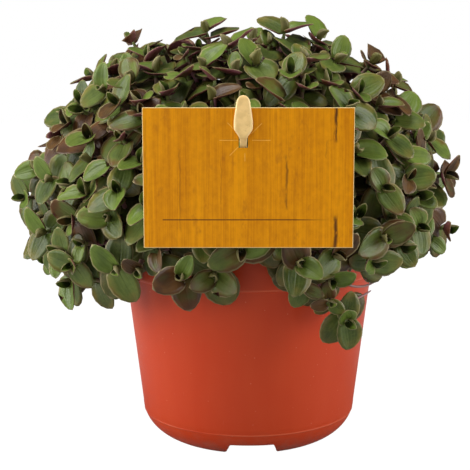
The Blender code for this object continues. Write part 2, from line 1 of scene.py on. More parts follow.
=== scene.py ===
"""Looks of a turtle vine in its nursery pot, with a plain card on a stake.

Metres, +Z up. Shapes are worked out round the pot's upright axis and then set at its place.
"""

import itertools
import math

import bpy
import numpy as np
from bpy.props import FloatProperty, FloatVectorProperty, IntProperty, PointerProperty
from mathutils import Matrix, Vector
from mathutils.bvhtree import BVHTree


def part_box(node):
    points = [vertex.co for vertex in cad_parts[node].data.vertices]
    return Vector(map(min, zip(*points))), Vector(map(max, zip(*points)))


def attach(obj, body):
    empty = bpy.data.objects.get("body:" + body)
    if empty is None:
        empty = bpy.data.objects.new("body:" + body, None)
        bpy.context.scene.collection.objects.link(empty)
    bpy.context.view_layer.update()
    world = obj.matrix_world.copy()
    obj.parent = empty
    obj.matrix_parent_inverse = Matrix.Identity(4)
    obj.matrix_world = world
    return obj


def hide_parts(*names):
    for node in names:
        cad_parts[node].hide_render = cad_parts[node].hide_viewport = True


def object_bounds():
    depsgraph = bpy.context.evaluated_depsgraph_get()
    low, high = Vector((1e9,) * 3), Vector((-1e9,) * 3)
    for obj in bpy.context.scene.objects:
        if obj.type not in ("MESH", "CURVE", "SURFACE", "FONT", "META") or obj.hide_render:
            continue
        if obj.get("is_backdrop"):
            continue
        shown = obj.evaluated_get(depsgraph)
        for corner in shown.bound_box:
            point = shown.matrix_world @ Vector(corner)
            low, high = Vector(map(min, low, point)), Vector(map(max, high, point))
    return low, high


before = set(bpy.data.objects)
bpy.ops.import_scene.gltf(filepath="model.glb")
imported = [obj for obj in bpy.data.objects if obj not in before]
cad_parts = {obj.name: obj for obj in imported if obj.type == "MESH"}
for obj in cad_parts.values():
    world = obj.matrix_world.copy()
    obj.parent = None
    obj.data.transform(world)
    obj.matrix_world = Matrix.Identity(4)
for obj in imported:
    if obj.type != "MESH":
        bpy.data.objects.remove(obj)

bl_info = {
    "name": "Turtle Vine in a Pot",
    "version": (1, 0, 0),
    "blender": (4, 5, 0),
    "location": "3D View > Sidebar > Turtle Vine",
    "description": "Makes a turtle vine in its pot, with its card and stake, on a plain stage",
    "category": "Add Mesh",
}

BODY = "root"
UP = np.array([0.0, 0.0, 1.0])
ACROSS = np.array([1.0, 0.0, 0.0])
CAD_LOW, CAD_HIGH = (np.array(corner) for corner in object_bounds())
POT_LOW, POT_HIGH = (np.array(corner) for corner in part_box("pot"))
CARD_LOW, CARD_HIGH = (np.array(corner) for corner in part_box("tag_card"))
# Where the pot's axis meets the floor
PLACE = np.array([(POT_LOW[0] + POT_HIGH[0]) / 2, (POT_LOW[1] + POT_HIGH[1]) / 2, 0.0])

# Pot, as in the frame
POT_HEIGHT = float(POT_HIGH[2])
RIM_RADIUS = float(POT_HIGH[0] - POT_LOW[0]) / 2
RIM_LOW = 0.079
RIM_THICK = 0.0020
WALL_TOP_RADIUS = 0.0584
WALL_LOW_RADIUS = 0.0509
WALL_LOW = 0.016
WALL_THICK = 0.0016
CORNER_ACROSS = 0.0215
CORNER_DEEP = 0.0177
INNER_CORNER = (0.0479, 0.0101)
FOOT_INNER_RADIUS = 0.0358
FLOOR_UNDER = 0.0070
FLOOR_TOP = 0.0088
FLOOR_RADIUS = 0.0464
CENTRE_HOLE = 0.006
NOTCH_COUNT = 3
NOTCH_LOW_WIDTH = 0.0240
NOTCH_HIGH_WIDTH = 0.0193
NOTCH_HEIGHT = 0.0065
FRONT_NOTCH = math.radians(-88)
# Columns of points across a notch, and how far past its edges they go
NOTCH_COLUMNS = 41
NOTCH_MARGIN = 0.001
FOOT_DRAFT = 0.0004
DRAIN_COUNT = 6
DRAIN_RADIUS = 0.0040
DRAIN_RING = 0.030
DRAIN_SIDES = 24
# How far past the floor's faces the drain holes are cut
CUT_MARGIN = 0.002
SEAM_HEIGHT = 0.0120
SEAM_DEPTH = 0.00016
SEAM_HALF = 0.00030
LIP_ROUND = 0.0009
EDGE_ROUND = 0.0003
ROUND_STEPS = 5
# How far the rim's lower edge slants, and how far above it its painted highlight line runs
RIM_STEP = 0.0006
RIM_HIGHLIGHT_LINE = 0.0003

# Soil, as in the frame
FIT = 0.0003
SOIL_TOP = 0.0855
SOIL_MOUND = 0.0025
SOIL_SEED = 5
SOIL_RINGS = 70
SOIL_SIDES = 180
# Ripples of the soil's top: how many, the longest one's length and height, and how much shorter and lower
# each next one is
RIPPLE_COUNT = 16
RIPPLE_LENGTH = 0.022
RIPPLE_HEIGHT = 0.00045
RIPPLE_SHORTER = 0.82
RIPPLE_LOWER = 0.86
# How far from the wall the crumbs stay
CRUMB_MARGIN = 0.003

# Card and stake, as in the frame
SLOT_WIDTH = 0.0036
SLOT_LOW = 0.1430
SLOT_HIGH = 0.1473
CARD_BEVEL = 0.00012
# The card's printed streaks: how far across as a share of its width, start and end as shares of its height,
# half width and strength
STREAKS = (
    (0.412, 0.74, 1.06, 0.00050, 0.92),
    (0.415, -0.06, 0.25, 0.00055, 0.92),
    (0.180, 0.26, 0.68, 0.00034, 0.62),
    (-0.325, 0.10, 0.72, 0.00026, 0.30),
    (-0.130, 0.28, 0.66, 0.00016, 0.25),
    (0.368, 0.60, 0.80, 0.00022, 0.25),
    (-0.485, 0.20, 0.95, 0.00025, 0.22),
)
RULE_LEVEL = 0.203
RULE_HALF = 0.00021
# The slits round the slot: direction in degrees, start and end in metres from their middle
SLITS = (
    (0, 0.0030, 0.0102), (180, 0.0030, 0.0102), (45, 0.0036, 0.0096),
    (135, 0.0036, 0.0099), (225, 0.0036, 0.0086), (270, 0.0052, 0.0084),
)
# From the slot's middle to the slits' own
SLIT_SHIFT = (0.0006, 0.0008)
STAKE_X = -0.002
STAKE_WIDTH = 0.0028
STAKE_THICK = 0.0014
# The stake's middle line (y, z), from its head down into the soil
STAKE_ROUTE = np.array((
    (-0.0938, 0.1640),
    (-0.0938, 0.1490),
    (-0.0932, 0.1468),
    (-0.0920, 0.1450),
    (-0.0895, 0.1415),
    (-0.0800, 0.1250),
    (-0.0670, 0.1100),
    (-0.0555, 0.0985),
    (-0.0478, 0.0895),
    (-0.0476, 0.0560),
))
# How much lower than the frame's the head starts
HEAD_DROP = 0.0006
# Distances from its top where the head has rings of its own
HEAD_STATIONS = (0.0002, 0.0006, 0.0012, *np.linspace(0.0015, 0.020, 16))
# The head is this share of its width at the top, swells between two distances from there, and ends
# between two shares of its length
HEAD_TOP_SHARE = 0.74
HEAD_SWELL = (0.0020, 0.0110)
HEAD_END = (0.76, 1.04)
# The stake's point: its length, and how wide its end is as a share
POINT_LENGTH = 0.0050
POINT_SHARE = 0.25

# Dome of shoot tips and the stems under it, as in the frame
DOME_X = 0.0970
DOME_FRONT = 0.081
DOME_BACK = 0.091
DOME_SHIFT = -0.0055
DOME_LEVEL = 0.107
DOME_RISE = 0.079
DOME_FULLNESS = 0.82
# Between these lifts in degrees its front goes over from the back's depth to its own
FRONT_LIFTS = (-25, -3)
LOWEST_LIFT = -46.0
UNDERCUT = 0.28
# How far the lowest shoots hang below the dome's widest level, at azimuths in degrees, and on the whole
HEM_DEGREES = (0, 45, 90, 135, 180, 208, 225, 245, 258, 275, 290, 303, 312, 328)
HEM_DROPS = (
    0.022, 0.030, 0.030, 0.032, 0.028, 0.036, 0.036, 0.024, 0.030, 0.012, 0.024, 0.038, 0.030, 0.018,
)
MEAN_DROP = 0.030
# Places where the dome swells or sinks, as (azimuth, lift, rise, how far it reaches), in degrees and metres
SWELLS = (
    (184, 5, 0.004, 9),
    (182, 22, -0.005, 10),
    (186, -12, -0.004, 8),
    (214, -46, 0.004, 12),
    (180, 47, 0.004, 9),
    (178, 66, 0.009, 9),
    (0, 46, 0.004, 14),
    (0, 3, -0.005, 9),
    (352, -14, 0.008, 8),
    (345, -48, -0.010, 18),
    (270, 84, 0.003, 25),
    (300, 55, 0.003, 12),
    (70, 20, 0.005, 18),
    (125, 35, -0.004, 16),
    (95, 55, 0.004, 16),
    (35, 5, -0.003, 16),
    (150, -5, 0.005, 16),
)
# Tips of the sprigs that stand out, round the pot's axis, and their size, as (x, y, z, size)
SPRIGS = (
    (-0.0775, -0.0620, 0.0905, 0.82),
    (-0.0560, -0.0745, 0.0915, 1.08),
    (-0.0145, -0.0800, 0.0890, 1.02),
    (-0.0600, -0.0690, 0.1120, 0.95),
    (-0.1065, -0.0160, 0.1150, 0.92),
    (-0.0900, -0.0380, 0.1260, 0.92),
    (0.0590, -0.0640, 0.1030, 1.05),
    (0.0930, -0.0240, 0.1010, 1.00),
    (0.0770, -0.0450, 0.1050, 0.95),
    (0.0424, -0.0740, 0.0680, 0.86),
    (0.0345, -0.0760, 0.0766, 0.64),
    (0.0235, -0.0770, 0.0840, 0.70),
    (0.0590, -0.0600, 0.1240, 0.95),
    (0.0860, -0.0120, 0.1420, 0.95),
    (0.0690, -0.0070, 0.1690, 1.00),
    (0.0330, -0.0120, 0.1905, 1.00),
    (0.0170, -0.0160, 0.1935, 1.05),
    (-0.0200, -0.0110, 0.1940, 1.00),
    (-0.0560, -0.0030, 0.1890, 0.80),
    (-0.0750, -0.0050, 0.1720, 0.90),
    (-0.0590, -0.0430, 0.1610, 1.05),
    (0.0020, 0.0140, 0.1910, 0.95),
    (0.0590, -0.0080, 0.1790, 1.00),
    (0.0860, -0.0220, 0.0960, 0.85),
    (0.0660, -0.0470, 0.0950, 0.85),
    (0.0950, -0.0100, 0.1250, 0.95),
    (-0.0990, -0.0160, 0.1290, 1.00),
    (-0.0930, -0.0400, 0.1020, 1.00),
)
# How close to a sprig's tip no other shoot ends
SPRIG_SPACE = 0.0085
# Places where the leaves redden, round the pot's axis, as (x, y, z, how far it reaches, how strong)
SUN_SPOTS = (
    (-0.058, -0.045, 0.165, 0.028, 0.46),
    (-0.089, -0.020, 0.146, 0.019, 0.60),
    (0.096, -0.010, 0.124, 0.020, 0.66),
    (0.034, -0.010, 0.188, 0.015, 0.24),
    (-0.046, 0.000, 0.190, 0.024, 0.46),
    (0.066, -0.020, 0.170, 0.020, 0.46),
    (-0.008, -0.060, 0.175, 0.014, 0.30),
    (0.052, -0.070, 0.138, 0.016, 0.42),
    (0.075, -0.045, 0.125, 0.016, 0.34),
    (-0.075, -0.060, 0.118, 0.014, 0.30),
    (-0.030, -0.078, 0.095, 0.024, 0.28),
    (0.032, -0.072, 0.096, 0.026, 0.28),
)
# Bare twigs at the right of the pot, each by the four points of its curve, round the pot's axis
TWIGS = (
    ((0.0360, -0.065, 0.089), (0.041, -0.0665, 0.0815), (0.049, -0.057, 0.0795), (0.0565, -0.042, 0.0808)),
    ((0.0345, -0.065, 0.077), (0.040, -0.0640, 0.0745), (0.046, -0.060, 0.0755), (0.0530, -0.053, 0.0785)),
)
TWIG_RADIUS = 0.00062
TWIG_TAPER = 0.7
GOLDEN_TURN = math.pi * (3 - math.sqrt(5))
STEM_COUNT = 30
STEM_PHASE = 2.4
ROOT_RING = 0.047
ROOT_DEPTH = 0.0075
# The stems by the lift of their outer ends: leans from straight up at the end and where the curve arrives,
# how deep under the dome they end, and how far the curve's two inner points stand off
STEM_LIFTS = (-46, -25, 0, 30, 90)
END_LEANS = (120, 104, 84, 52, 0)
ARRIVAL_LEANS = (166, 140, 96, 50, 0)
END_SINKS = (0.0145, 0.017, 0.019, 0.021, 0.022)
STEM_RISES = (0.037, 0.035, 0.030, 0.026, 0.020)
STEM_GRIPS = (0.042, 0.036, 0.030, 0.024, 0.020)
# Hanging stems lean past level in proportion to their drop, in full from this drop on
LEVEL_END_LEAN = 84
LEVEL_ARRIVAL_LEAN = 96
FULL_DROOP = 0.046
# A stem that arrives at more than this lean keeps its curve outside its root
LOW_ARRIVAL_LEAN = 60
ROOT_GAP = 0.002
LEAST_GRIP = 0.010

# Shoots: their lean from straight up by lift, and a phase, a depth under the dome and a spare for each layer
SHOOT_LIFTS = (-46, -25, 0, 30, 60, 90)
SHOOT_LEANS = (106, 90, 66, 42, 26, 8)
OUTER_LAYER = (0.9, 0.0, 0.004)
INNER_LAYER = (3.1, 0.017, 0.005)
# How far shoots stray from an even spread, in radians, and their axes, as a share
SHOOT_STRAY = 0.03
AXIS_STRAY = 0.22
# How much the shoots at the sides turn towards the front, where the sine of their azimuth is below this
FORWARD_TURN = 0.8
FORWARD_SINE = 0.3
SHOOT_SIZES = (0.86, 1.12)
# How far outside its layer a shoot may end
SHOOT_RISE = 0.002
# Sprigs below the first height face the front by the first share, and those above the second by the second
FACING_HEIGHTS = (0.12, 0.16)
FACING_SHARES = (0.9, 0.15)
# How far behind a shoot's tip its branch's curve ends, and where it runs on straight from there
NECK = 0.016
NECK_STEPS = np.linspace(0.004, 0.0118, 4)
# Branches leave their stem between two shares of its way. Their curve's inner points stand off by a share
# of the way to the stem's end and by a share of the branch's own reach
BRANCH_STARTS = (0.42, 0.80)
BRANCH_GRIPS = (0.35, 0.30)
# Points along the curve of each kind, and ages at its first and its last point
STEM_STEPS, BRANCH_STEPS, TWIG_STEPS = 22, 12, 14
STEM_AGES, BRANCH_AGES, TWIG_AGES = (1, 0.5), (0.6, 0), (0.45, 0.22)
# How many stretches a stem has from joint to joint, and how much it swells at a joint
STEM_STRETCHES = 5
JOINT_SWELL = 0.16
# From this height up leaves grow towards their size at the top
LOW_TIPS = 0.060
# Nearly a whole turn, for random directions and phases
ALL_ROUND = (0, 6.28)

# Leaves of a shoot from the youngest out: size, distance behind the tip, angle to the shoot's axis, the half
# angles of the blade's arc at its base and its tip, bend and age
RANK_SIZES = np.array([0.47, 0.84, 0.98, 1.04, 1.06, 1.04])
RANK_BACKS = np.array([0.0042, 0.0040, 0.0054, 0.0074, 0.0104, 0.0140])
RANK_PITCHES = np.array([6, 50, 70, 82, 90, 96])
RANK_ROLLS = np.array([2.90, 1.35, 0.85, 0.66, 0.54, 0.46])
RANK_OPEN_ROLLS = np.array([1.85, 0.60, 0.46, 0.38, 0.32, 0.30])
RANK_BENDS = np.array([0.15, 0.15, 0.05, 0.10, 0.22, 0.38])
RANK_AGES = np.array([0.0, 0.14, 0.34, 0.52, 0.72, 0.92])
# Old leaves: their places along a branch, a rank past the youngest two, and numbers that no shoot has
OLD_SHARES = np.linspace(0.12, 0.94, 5)
OLD_RANK = 9
OLD_OWNERS = 100000
# Ways to fit a leaf in: a tilt and a swing in degrees, and a size
POSES = ((0, 0, 1), (-12, 0, 1), (12, 0, 1), (0, 16, 1), (0, -16, 1), (-20, 0, 0.85), (0, 0, 0.75))
# Most face pairs of other shoots that a leaf may cross, and what crossing the pot, card or stake counts as
YOUNG_CROSSINGS = 14
OLD_CROSSINGS = 6
BLOCKED = 1000
# How far a leaf may stand out of the frame's box, below and above
SPARE_BELOW = (0.001, 0.001, 0)
SPARE_ABOVE = (0.001, 0.001, 0.003)

# Leaf, on a grid of shares of its length by shares of its half width
LEAF_SHARES = np.array([0.03, 0.14, 0.31, 0.52, 0.74, 0.91])
LEAF_ACROSS = np.array([1, 0.56, 0, -0.56, -1, -0.56, 0, 0.56])
LEAF_SIDES = np.array([0, 1, 1, 1, 0, -1, -1, -1])
# The highest that the half width's formula gives
LEAF_FORM_MOST = 0.5318
STEM_AROUND = 7

# Stage
FLOOR_HALF = 3.0
FLOOR_POINTS = 9
SEEN_WHITE = 1.12
WHITE = (1, 1, 1, 1)
AIM_HEIGHT = 0.11
LEFT_SHARE = 1.09
SENSOR_WIDTH = 36
CAMERA_SHIFT = (-0.0287, 0.0149)


def value_property(name, description, default, low=0.0, high=10.0, unit="NONE", subtype="NONE"):
    """A number with its words, its default and its limits."""
    return FloatProperty(
        name=name, description=description, default=default, min=low, max=high,
        precision=4, unit=unit, subtype=subtype,
    )


def length_property(name, description, default):
    """A length in metres."""
    return value_property(name, description, default, 0.0001, 5.0, "LENGTH")


def share_property(name, description, default):
    """A share from nothing to one."""
    return value_property(name, description, default, 0.0, 1.0, subtype="FACTOR")


def count_property(name, description, default):
    """A whole number of things."""
    return IntProperty(name=name, description=description, default=default, min=1, max=5000)


def colour_property(name, description, default):
    """A linear colour."""
    return FloatVectorProperty(
        name=name, description=description, default=default, min=0, max=1, size=3, subtype="COLOR",
    )


class PotSettings(bpy.types.PropertyGroup):
    """The moulded pot."""

    sides: count_property("Sides", "How many faces go round the wall", 180)
    colour: colour_property("Colour", "The plastic", (0.446, 0.031, 0.001))
    light_colour: colour_property("Light colour", "Where the plastic is thin or dusty", (0.500, 0.056, 0.010))
    roughness: share_property("Roughness", "How dull the plastic is", 0.43)


class SoilSettings(bpy.types.PropertyGroup):
    """The potting soil."""

    crumbs: count_property("Crumbs", "How many loose crumbs lie on top", 420)
    crumb_size: length_property("Crumb size", "The largest crumb's length", 0.0028)
    colour: colour_property("Colour", "Moist peat", (0.022, 0.013, 0.008))
    dry_colour: colour_property("Dry colour", "Dry crumbs and fibres", (0.085, 0.050, 0.028))


class CardSettings(bpy.types.PropertyGroup):
    """The plain card."""

    width: length_property("Width", "Side to side", float(CARD_HIGH[0] - CARD_LOW[0]))
    height: length_property("Height", "Lower edge to upper edge", float(CARD_HIGH[2] - CARD_LOW[2]))
    colour: colour_property("Colour", "The printed grain's light part", (0.690, 0.270, 0.001))
    # Also the painted shade towards the card's right.
    dark_grain_and_shade: colour_property("Dark colour", "The printed grain's dark part", (0.410, 0.125, 0.001))
    ink: colour_property("Ink", "The streaks and the thin rule", (0.070, 0.020, 0.006))
    board: colour_property("Board", "The cut edges and the back", (0.820, 0.610, 0.270))


class StakeSettings(bpy.types.PropertyGroup):
    """The stake that holds the card."""

    head_width: length_property("Head width", "The widest part of the head", 0.0074)
    head_length: length_property("Head length", "From the top to where the head ends", 0.0165)
    colour: colour_property("Colour", "Milky plastic", (0.820, 0.560, 0.225))
    edge_colour: colour_property("Edge colour", "Where light comes through the edge", (0.880, 0.640, 0.290))


class VineSettings(bpy.types.PropertyGroup):
    """The leafy stems."""

    seed: count_property("Seed", "Another number gives another plant", 15)
    outer_shoots: count_property("Outer shoots", "Leafy shoots that end on the dome", 300)
    inner_shoots: count_property("Inner shoots", "Leafy shoots that end under the dome", 140)
    low_leaf: length_property("Low leaf", "Leaf length on the lowest shoots", 0.0136)
    high_leaf: length_property("High leaf", "Leaf length at the top", 0.0146)
    leaf_width: share_property("Leaf width", "Width as a share of the length", 0.98)
    leaf_thickness: length_property("Leaf thickness", "At the leaf's middle", 0.0009)
    stem_radius: length_property("Stem radius", "Where a stem leaves the soil", 0.0017)
    shoot_radius: length_property("Shoot radius", "Just under the youngest leaf", 0.0010)
    green: colour_property("Green", "A grown leaf's upper face", (0.046, 0.070, 0.011))
    young_green: colour_property("Young green", "The youngest leaves", (0.114, 0.178, 0.020))
    # Also painted shade: leaves of the inner shoots take this colour by their depth under the dome.
    old_and_shaded_green: colour_property("Old green", "Old leaves' upper face", (0.046, 0.034, 0.008))
    maroon: colour_property("Maroon", "The underside", (0.108, 0.024, 0.020))
    rust: colour_property("Rust", "The underside of older leaves", (0.135, 0.044, 0.014))
    margin: colour_property("Margin", "The thin line round a leaf", (0.290, 0.235, 0.110))
    stem: colour_property("Stem", "Young stems", (0.340, 0.140, 0.170))
    old_stem: colour_property("Old stem", "Stems near the soil", (0.085, 0.062, 0.032))


class StageSettings(bpy.types.PropertyGroup):
    """The floor, the lights and the camera."""

    floor: colour_property("Floor", "The pale floor", (0.42, 0.42, 0.42))
    whiteness: share_property("Whiteness", "How far the floor is seen as plain white", 0.90)
    surround: value_property("Surround", "How much light the white room gives", 0.15)
    side_light: value_property("Side light", "Each side lamp, the left a little more", 9.1, 0, 500, "POWER")
    front_light: value_property("Front light", "The lamp in front, on the left", 2.7, 0, 500, "POWER")
    top_light: value_property("Top light", "The lamp above", 9.2, 0, 500, "POWER")
    distance: length_property("Distance", "From the pot's axis to the camera", 0.527)
    height: length_property("Height", "The camera above the floor", 0.174)
    pitch: value_property("Pitch", "How far the camera looks down", math.radians(8.9), 0, 1.5, "ROTATION")
    lens: value_property("Lens", "Focal length on a 36 mm wide sensor", 85.5, 10, 400)


class TurtleVineSettings(bpy.types.PropertyGroup):
    """All settings."""

    pot: PointerProperty(type=PotSettings)
    soil: PointerProperty(type=SoilSettings)
    card: PointerProperty(type=CardSettings)
    stake: PointerProperty(type=StakeSettings)
    vine: PointerProperty(type=VineSettings)
    stage: PointerProperty(type=StageSettings)


# Finishes

SPECK, SCUFF, POT_DUST = (0.62, 0.28, 0.17), (0.70, 0.32, 0.20), (0.30, 0.13, 0.08)
# The seam's colour and the rim line's colour are painted highlights.
POT_SEAM_HIGHLIGHT, POT_RIM_HIGHLIGHT = (0.66, 0.16, 0.075), (0.62, 0.14, 0.065)
DRY_FIBRE, PALE_GRAIN = (0.16, 0.085, 0.04), (0.42, 0.37, 0.30)
FRESH_GREEN, SHADE_GREEN, HEART_GREEN = (0.140, 0.185, 0.034), (0.028, 0.036, 0.008), (0.028, 0.048, 0.009)
BASE_GREEN, VEIN_GREEN, MIDRIB_GREEN = (0.140, 0.200, 0.034), (0.175, 0.210, 0.052), (0.045, 0.060, 0.012)
SPECKLE_GREEN, OLIVE, OLD_RIM = (0.145, 0.172, 0.028), (0.162, 0.126, 0.022), (0.052, 0.026, 0.012)
# The last colour here is painted shade, for the inside of the youngest leaf's roll.
DARK_RED, WARM_RED, BUD_HOLLOW_SHADE = (0.050, 0.012, 0.009), (0.088, 0.027, 0.009), (0.012, 0.016, 0.004)
PURPLE, LOWER_VEIN, LOWER_MIDRIB = (0.200, 0.060, 0.090), (0.230, 0.085, 0.105), (0.260, 0.120, 0.100)
YOUNG_LOWER = (0.140, 0.185, 0.045)
STEM_OLIVE, STEM_PINK, STEM_TOP = (0.110, 0.115, 0.045), (0.300, 0.160, 0.150), (0.100, 0.125, 0.026)
STAIN, FLECK, SLIT = (0.300, 0.085, 0.006), (0.200, 0.060, 0.010), (0.860, 0.470, 0.080)
BOARD_FIBRE = (0.700, 0.560, 0.300)
MILK_CLOUD, PIT = (0.620, 0.400, 0.140), (0.560, 0.360, 0.130)


class Value:
    """A number that changes over a surface. Arithmetic on it adds Math nodes to its material."""

    def __init__(self, finish, socket):
        self.finish, self.socket = finish, socket

    def math(self, operation, *inputs, clamp=False):
        """The result of one Math node."""
        settings = {"operation": operation, "use_clamp": clamp}
        made = self.finish.node("ShaderNodeMath", settings, dict(enumerate(inputs)))
        return Value(self.finish, made.outputs[0])

    def __add__(self, other):
        return self.math("ADD", self, other)

    def __sub__(self, other):
        return self.math("SUBTRACT", self, other)

    def __rsub__(self, other):
        return self.math("SUBTRACT", other, self)

    def __mul__(self, other):
        return self.math("MULTIPLY", self, other)

    def __pow__(self, other):
        return self.math("POWER", self, other)

    def __abs__(self):
        return self.math("ABSOLUTE", self)

    __radd__ = __add__
    __rmul__ = __mul__

    def sine(self):
        """Its sine."""
        return self.math("SINE", self)

    def clamped(self):
        """It, held from 0 to 1."""
        return self.math("ADD", self, 0, clamp=True)

    def least(self, other):
        """The lower of it and another."""
        return self.math("MINIMUM", self, other)

    def most(self, other):
        """The higher of it and another."""
        return self.math("MAXIMUM", self, other)

    def between(self, low, high):
        """A smooth step: 0 below low, 1 above high, and the other way round where low is the higher."""
        share = self.math("DIVIDE", self - low, high - low, clamp=True)
        return share * share * (3 - 2 * share)


class Nodes:
    """A node tree whose nodes all come from one method."""

    def __init__(self, tree):
        self.tree = tree

    def node(self, kind, settings=None, inputs=None):
        """A node of a kind, with its settings made first, then its sockets' values or links."""
        made = self.tree.nodes.new(kind)
        for name, setting in (settings or {}).items():
            setattr(made, name, setting)
        for key, given in (inputs or {}).items():
            given = given.socket if isinstance(given, Value) else given
            if isinstance(given, bpy.types.NodeSocket):
                self.tree.links.new(given, made.inputs[key])
            else:
                made.inputs[key].default_value = given
        return made

    def seen_as(self, share, surface, seen, output):
        """Shows a surface to the light, and to the camera a share of another one in its place."""
        by_camera = Value(self, self.node("ShaderNodeLightPath").outputs["Is Camera Ray"])
        shaders = {1: surface.outputs[0], 2: seen.outputs[0]}
        either = self.node("ShaderNodeMixShader", {}, {0: by_camera * share, **shaders})
        self.tree.links.new(either.outputs[0], self.tree.nodes[output].inputs["Surface"])


class Finish(Nodes):
    """A material with one Principled shader, put together by its methods."""

    def __init__(self, name, **constants):
        self.material = bpy.data.materials.new(name)
        self.material.use_nodes = True
        super().__init__(self.material.node_tree)
        self.shader = self.tree.nodes["Principled BSDF"]
        for socket, constant in constants.items():
            self.shader.inputs[socket.replace("_", " ")].default_value = constant

    def place(self, scale=(1, 1, 1), turn=(0, 0, 0)):
        """The Object coordinates, scaled and turned."""
        where = self.node("ShaderNodeTexCoord").outputs["Object"]
        mapped = self.node("ShaderNodeMapping", {}, {"Vector": where, "Scale": scale, "Rotation": turn})
        return mapped.outputs["Vector"]

    def parts(self, vector):
        """The three numbers of a vector."""
        split = self.node("ShaderNodeSeparateXYZ", {}, {0: vector})
        return [Value(self, socket) for socket in split.outputs]

    def map_place(self):
        """The place on the piece's map: across and along."""
        return self.parts(self.node("ShaderNodeUVMap", {"uv_map": "leaf"}).outputs[0])[:2]

    def growth(self):
        """Side, tone and age, from the growth attribute."""
        return self.parts(self.node("ShaderNodeAttribute", {"attribute_name": "growth"}).outputs["Vector"])

    def noise(self, vector, scale, detail, roughness=0.5):
        """Soft noise, about 0.5."""
        inputs = {"Vector": vector, "Scale": scale, "Detail": detail, "Roughness": roughness}
        return Value(self, self.node("ShaderNodeTexNoise", {}, inputs).outputs[0])

    def drawn_noise(self, scale, detail, roughness=0.5, turn=(0, 0, 0)):
        """Soft noise, about 0.5, with a scale of its own along each axis."""
        return self.noise(self.place(scale, turn), 1.0, detail, roughness)

    def cells(self, vector, scale):
        """The distance to the nearest cell's middle."""
        made = self.node("ShaderNodeTexVoronoi", {}, {"Vector": vector, "Scale": scale})
        return Value(self, made.outputs["Distance"])

    def mix(self, share, first, second):
        """Two colours mixed: the first at 0 and the second at 1."""
        first, second = (c if isinstance(c, bpy.types.NodeSocket) else (*c, 1) for c in (first, second))
        return self.node("ShaderNodeMix", {"data_type": "RGBA"}, {0: share, 6: first, 7: second}).outputs[2]

    def layers(self, colour, *layers):
        """A colour under layers, each given as how much it covers and its own colour."""
        for share, layer in layers:
            colour = self.mix(share, colour, layer)
        return colour

    def done(self, colour, roughness, bumps, depth, strength):
        """Links what changes over the surface, bumps with a depth in metres, and gives the material."""
        height = {"Height": bumps, "Distance": depth, "Strength": strength}
        normal = self.node("ShaderNodeBump", {}, height).outputs[0]
        for name, given in (("Base Color", colour), ("Roughness", roughness.socket), ("Normal", normal)):
            self.tree.links.new(given, self.shader.inputs[name])
        return self.material


def pot_finish(settings):
    """Matt moulded plastic: soft clouds of tone, a fine grain, faint flow lines, specks and scuffs, and
    painted highlights on the seam and the rim's edge.
    """
    f = Finish("terracotta_plastic", Specular_IOR_Level=0.27)
    where = f.place()
    cloud = f.noise(where, 22, 3)
    flow = f.drawn_noise((160, 160, 9), 2)
    grain = f.noise(where, 2600, 2, 0.6)
    specks = f.cells(where, 210).between(0.085, 0.02)
    scuffs = f.drawn_noise((900, 900, 70), 4, 0.7, (0.3, 0.1, 0)).between(0.66, 0.80)
    height = f.parts(where)[2]
    dust = height.between(0.016, 0.0) * f.noise(where, 190, 4).between(0.40, 0.72)
    tone = (cloud - 0.5) * 0.9 + (flow - 0.5) * 0.35 + 0.30
    # The raised seam is painted paler in broken stretches: a painted highlight along it.
    seam = abs(height - SEAM_HEIGHT).between(SEAM_HALF * 1.6, SEAM_HALF * 0.4) * cloud.between(0.35, 0.55)
    # A thin paler line just above the rim's lower edge: a painted highlight on that step.
    edge = abs(height - RIM_LOW - RIM_HIGHLIGHT_LINE).between(0.0006, 0.0001)
    colour = f.layers(
        f.mix(tone.clamped(), settings.colour, settings.light_colour),
        (specks * 0.35, SPECK), (scuffs * 0.16, SCUFF), (dust * 0.35, POT_DUST),
        (seam * 0.40, POT_SEAM_HIGHLIGHT), (edge * 0.45, POT_RIM_HIGHLIGHT),
    )
    roughness = settings.roughness + (grain - 0.5) * 0.10 + (cloud - 0.5) * 0.12 + scuffs * 0.12
    return f.done(colour, roughness, grain * 0.6 + cloud * 0.4 + scuffs * 0.5, 0.00012, 0.5)


def soil_finish(settings):
    """Peat: dark crumbs with dry brown fibres and a few pale grains."""
    f = Finish("potting_soil")
    where = f.place()
    crumbs = f.cells(where, 520)
    patches = f.noise(where, 150, 5, 0.65)
    fibres = f.drawn_noise((2200, 300, 900), 3, turn=(0.4, 0.2, 0.7)).between(0.60, 0.72)
    grains = f.cells(where, 330).between(0.09, 0.05)
    colour = f.layers(
        f.mix(patches.between(0.35, 0.75), settings.colour, settings.dry_colour),
        (fibres * 0.7, DRY_FIBRE), (grains * 0.8, PALE_GRAIN),
    )
    return f.done(colour, 0.98 - crumbs * 0.2, crumbs + patches, 0.0011, 0.9)


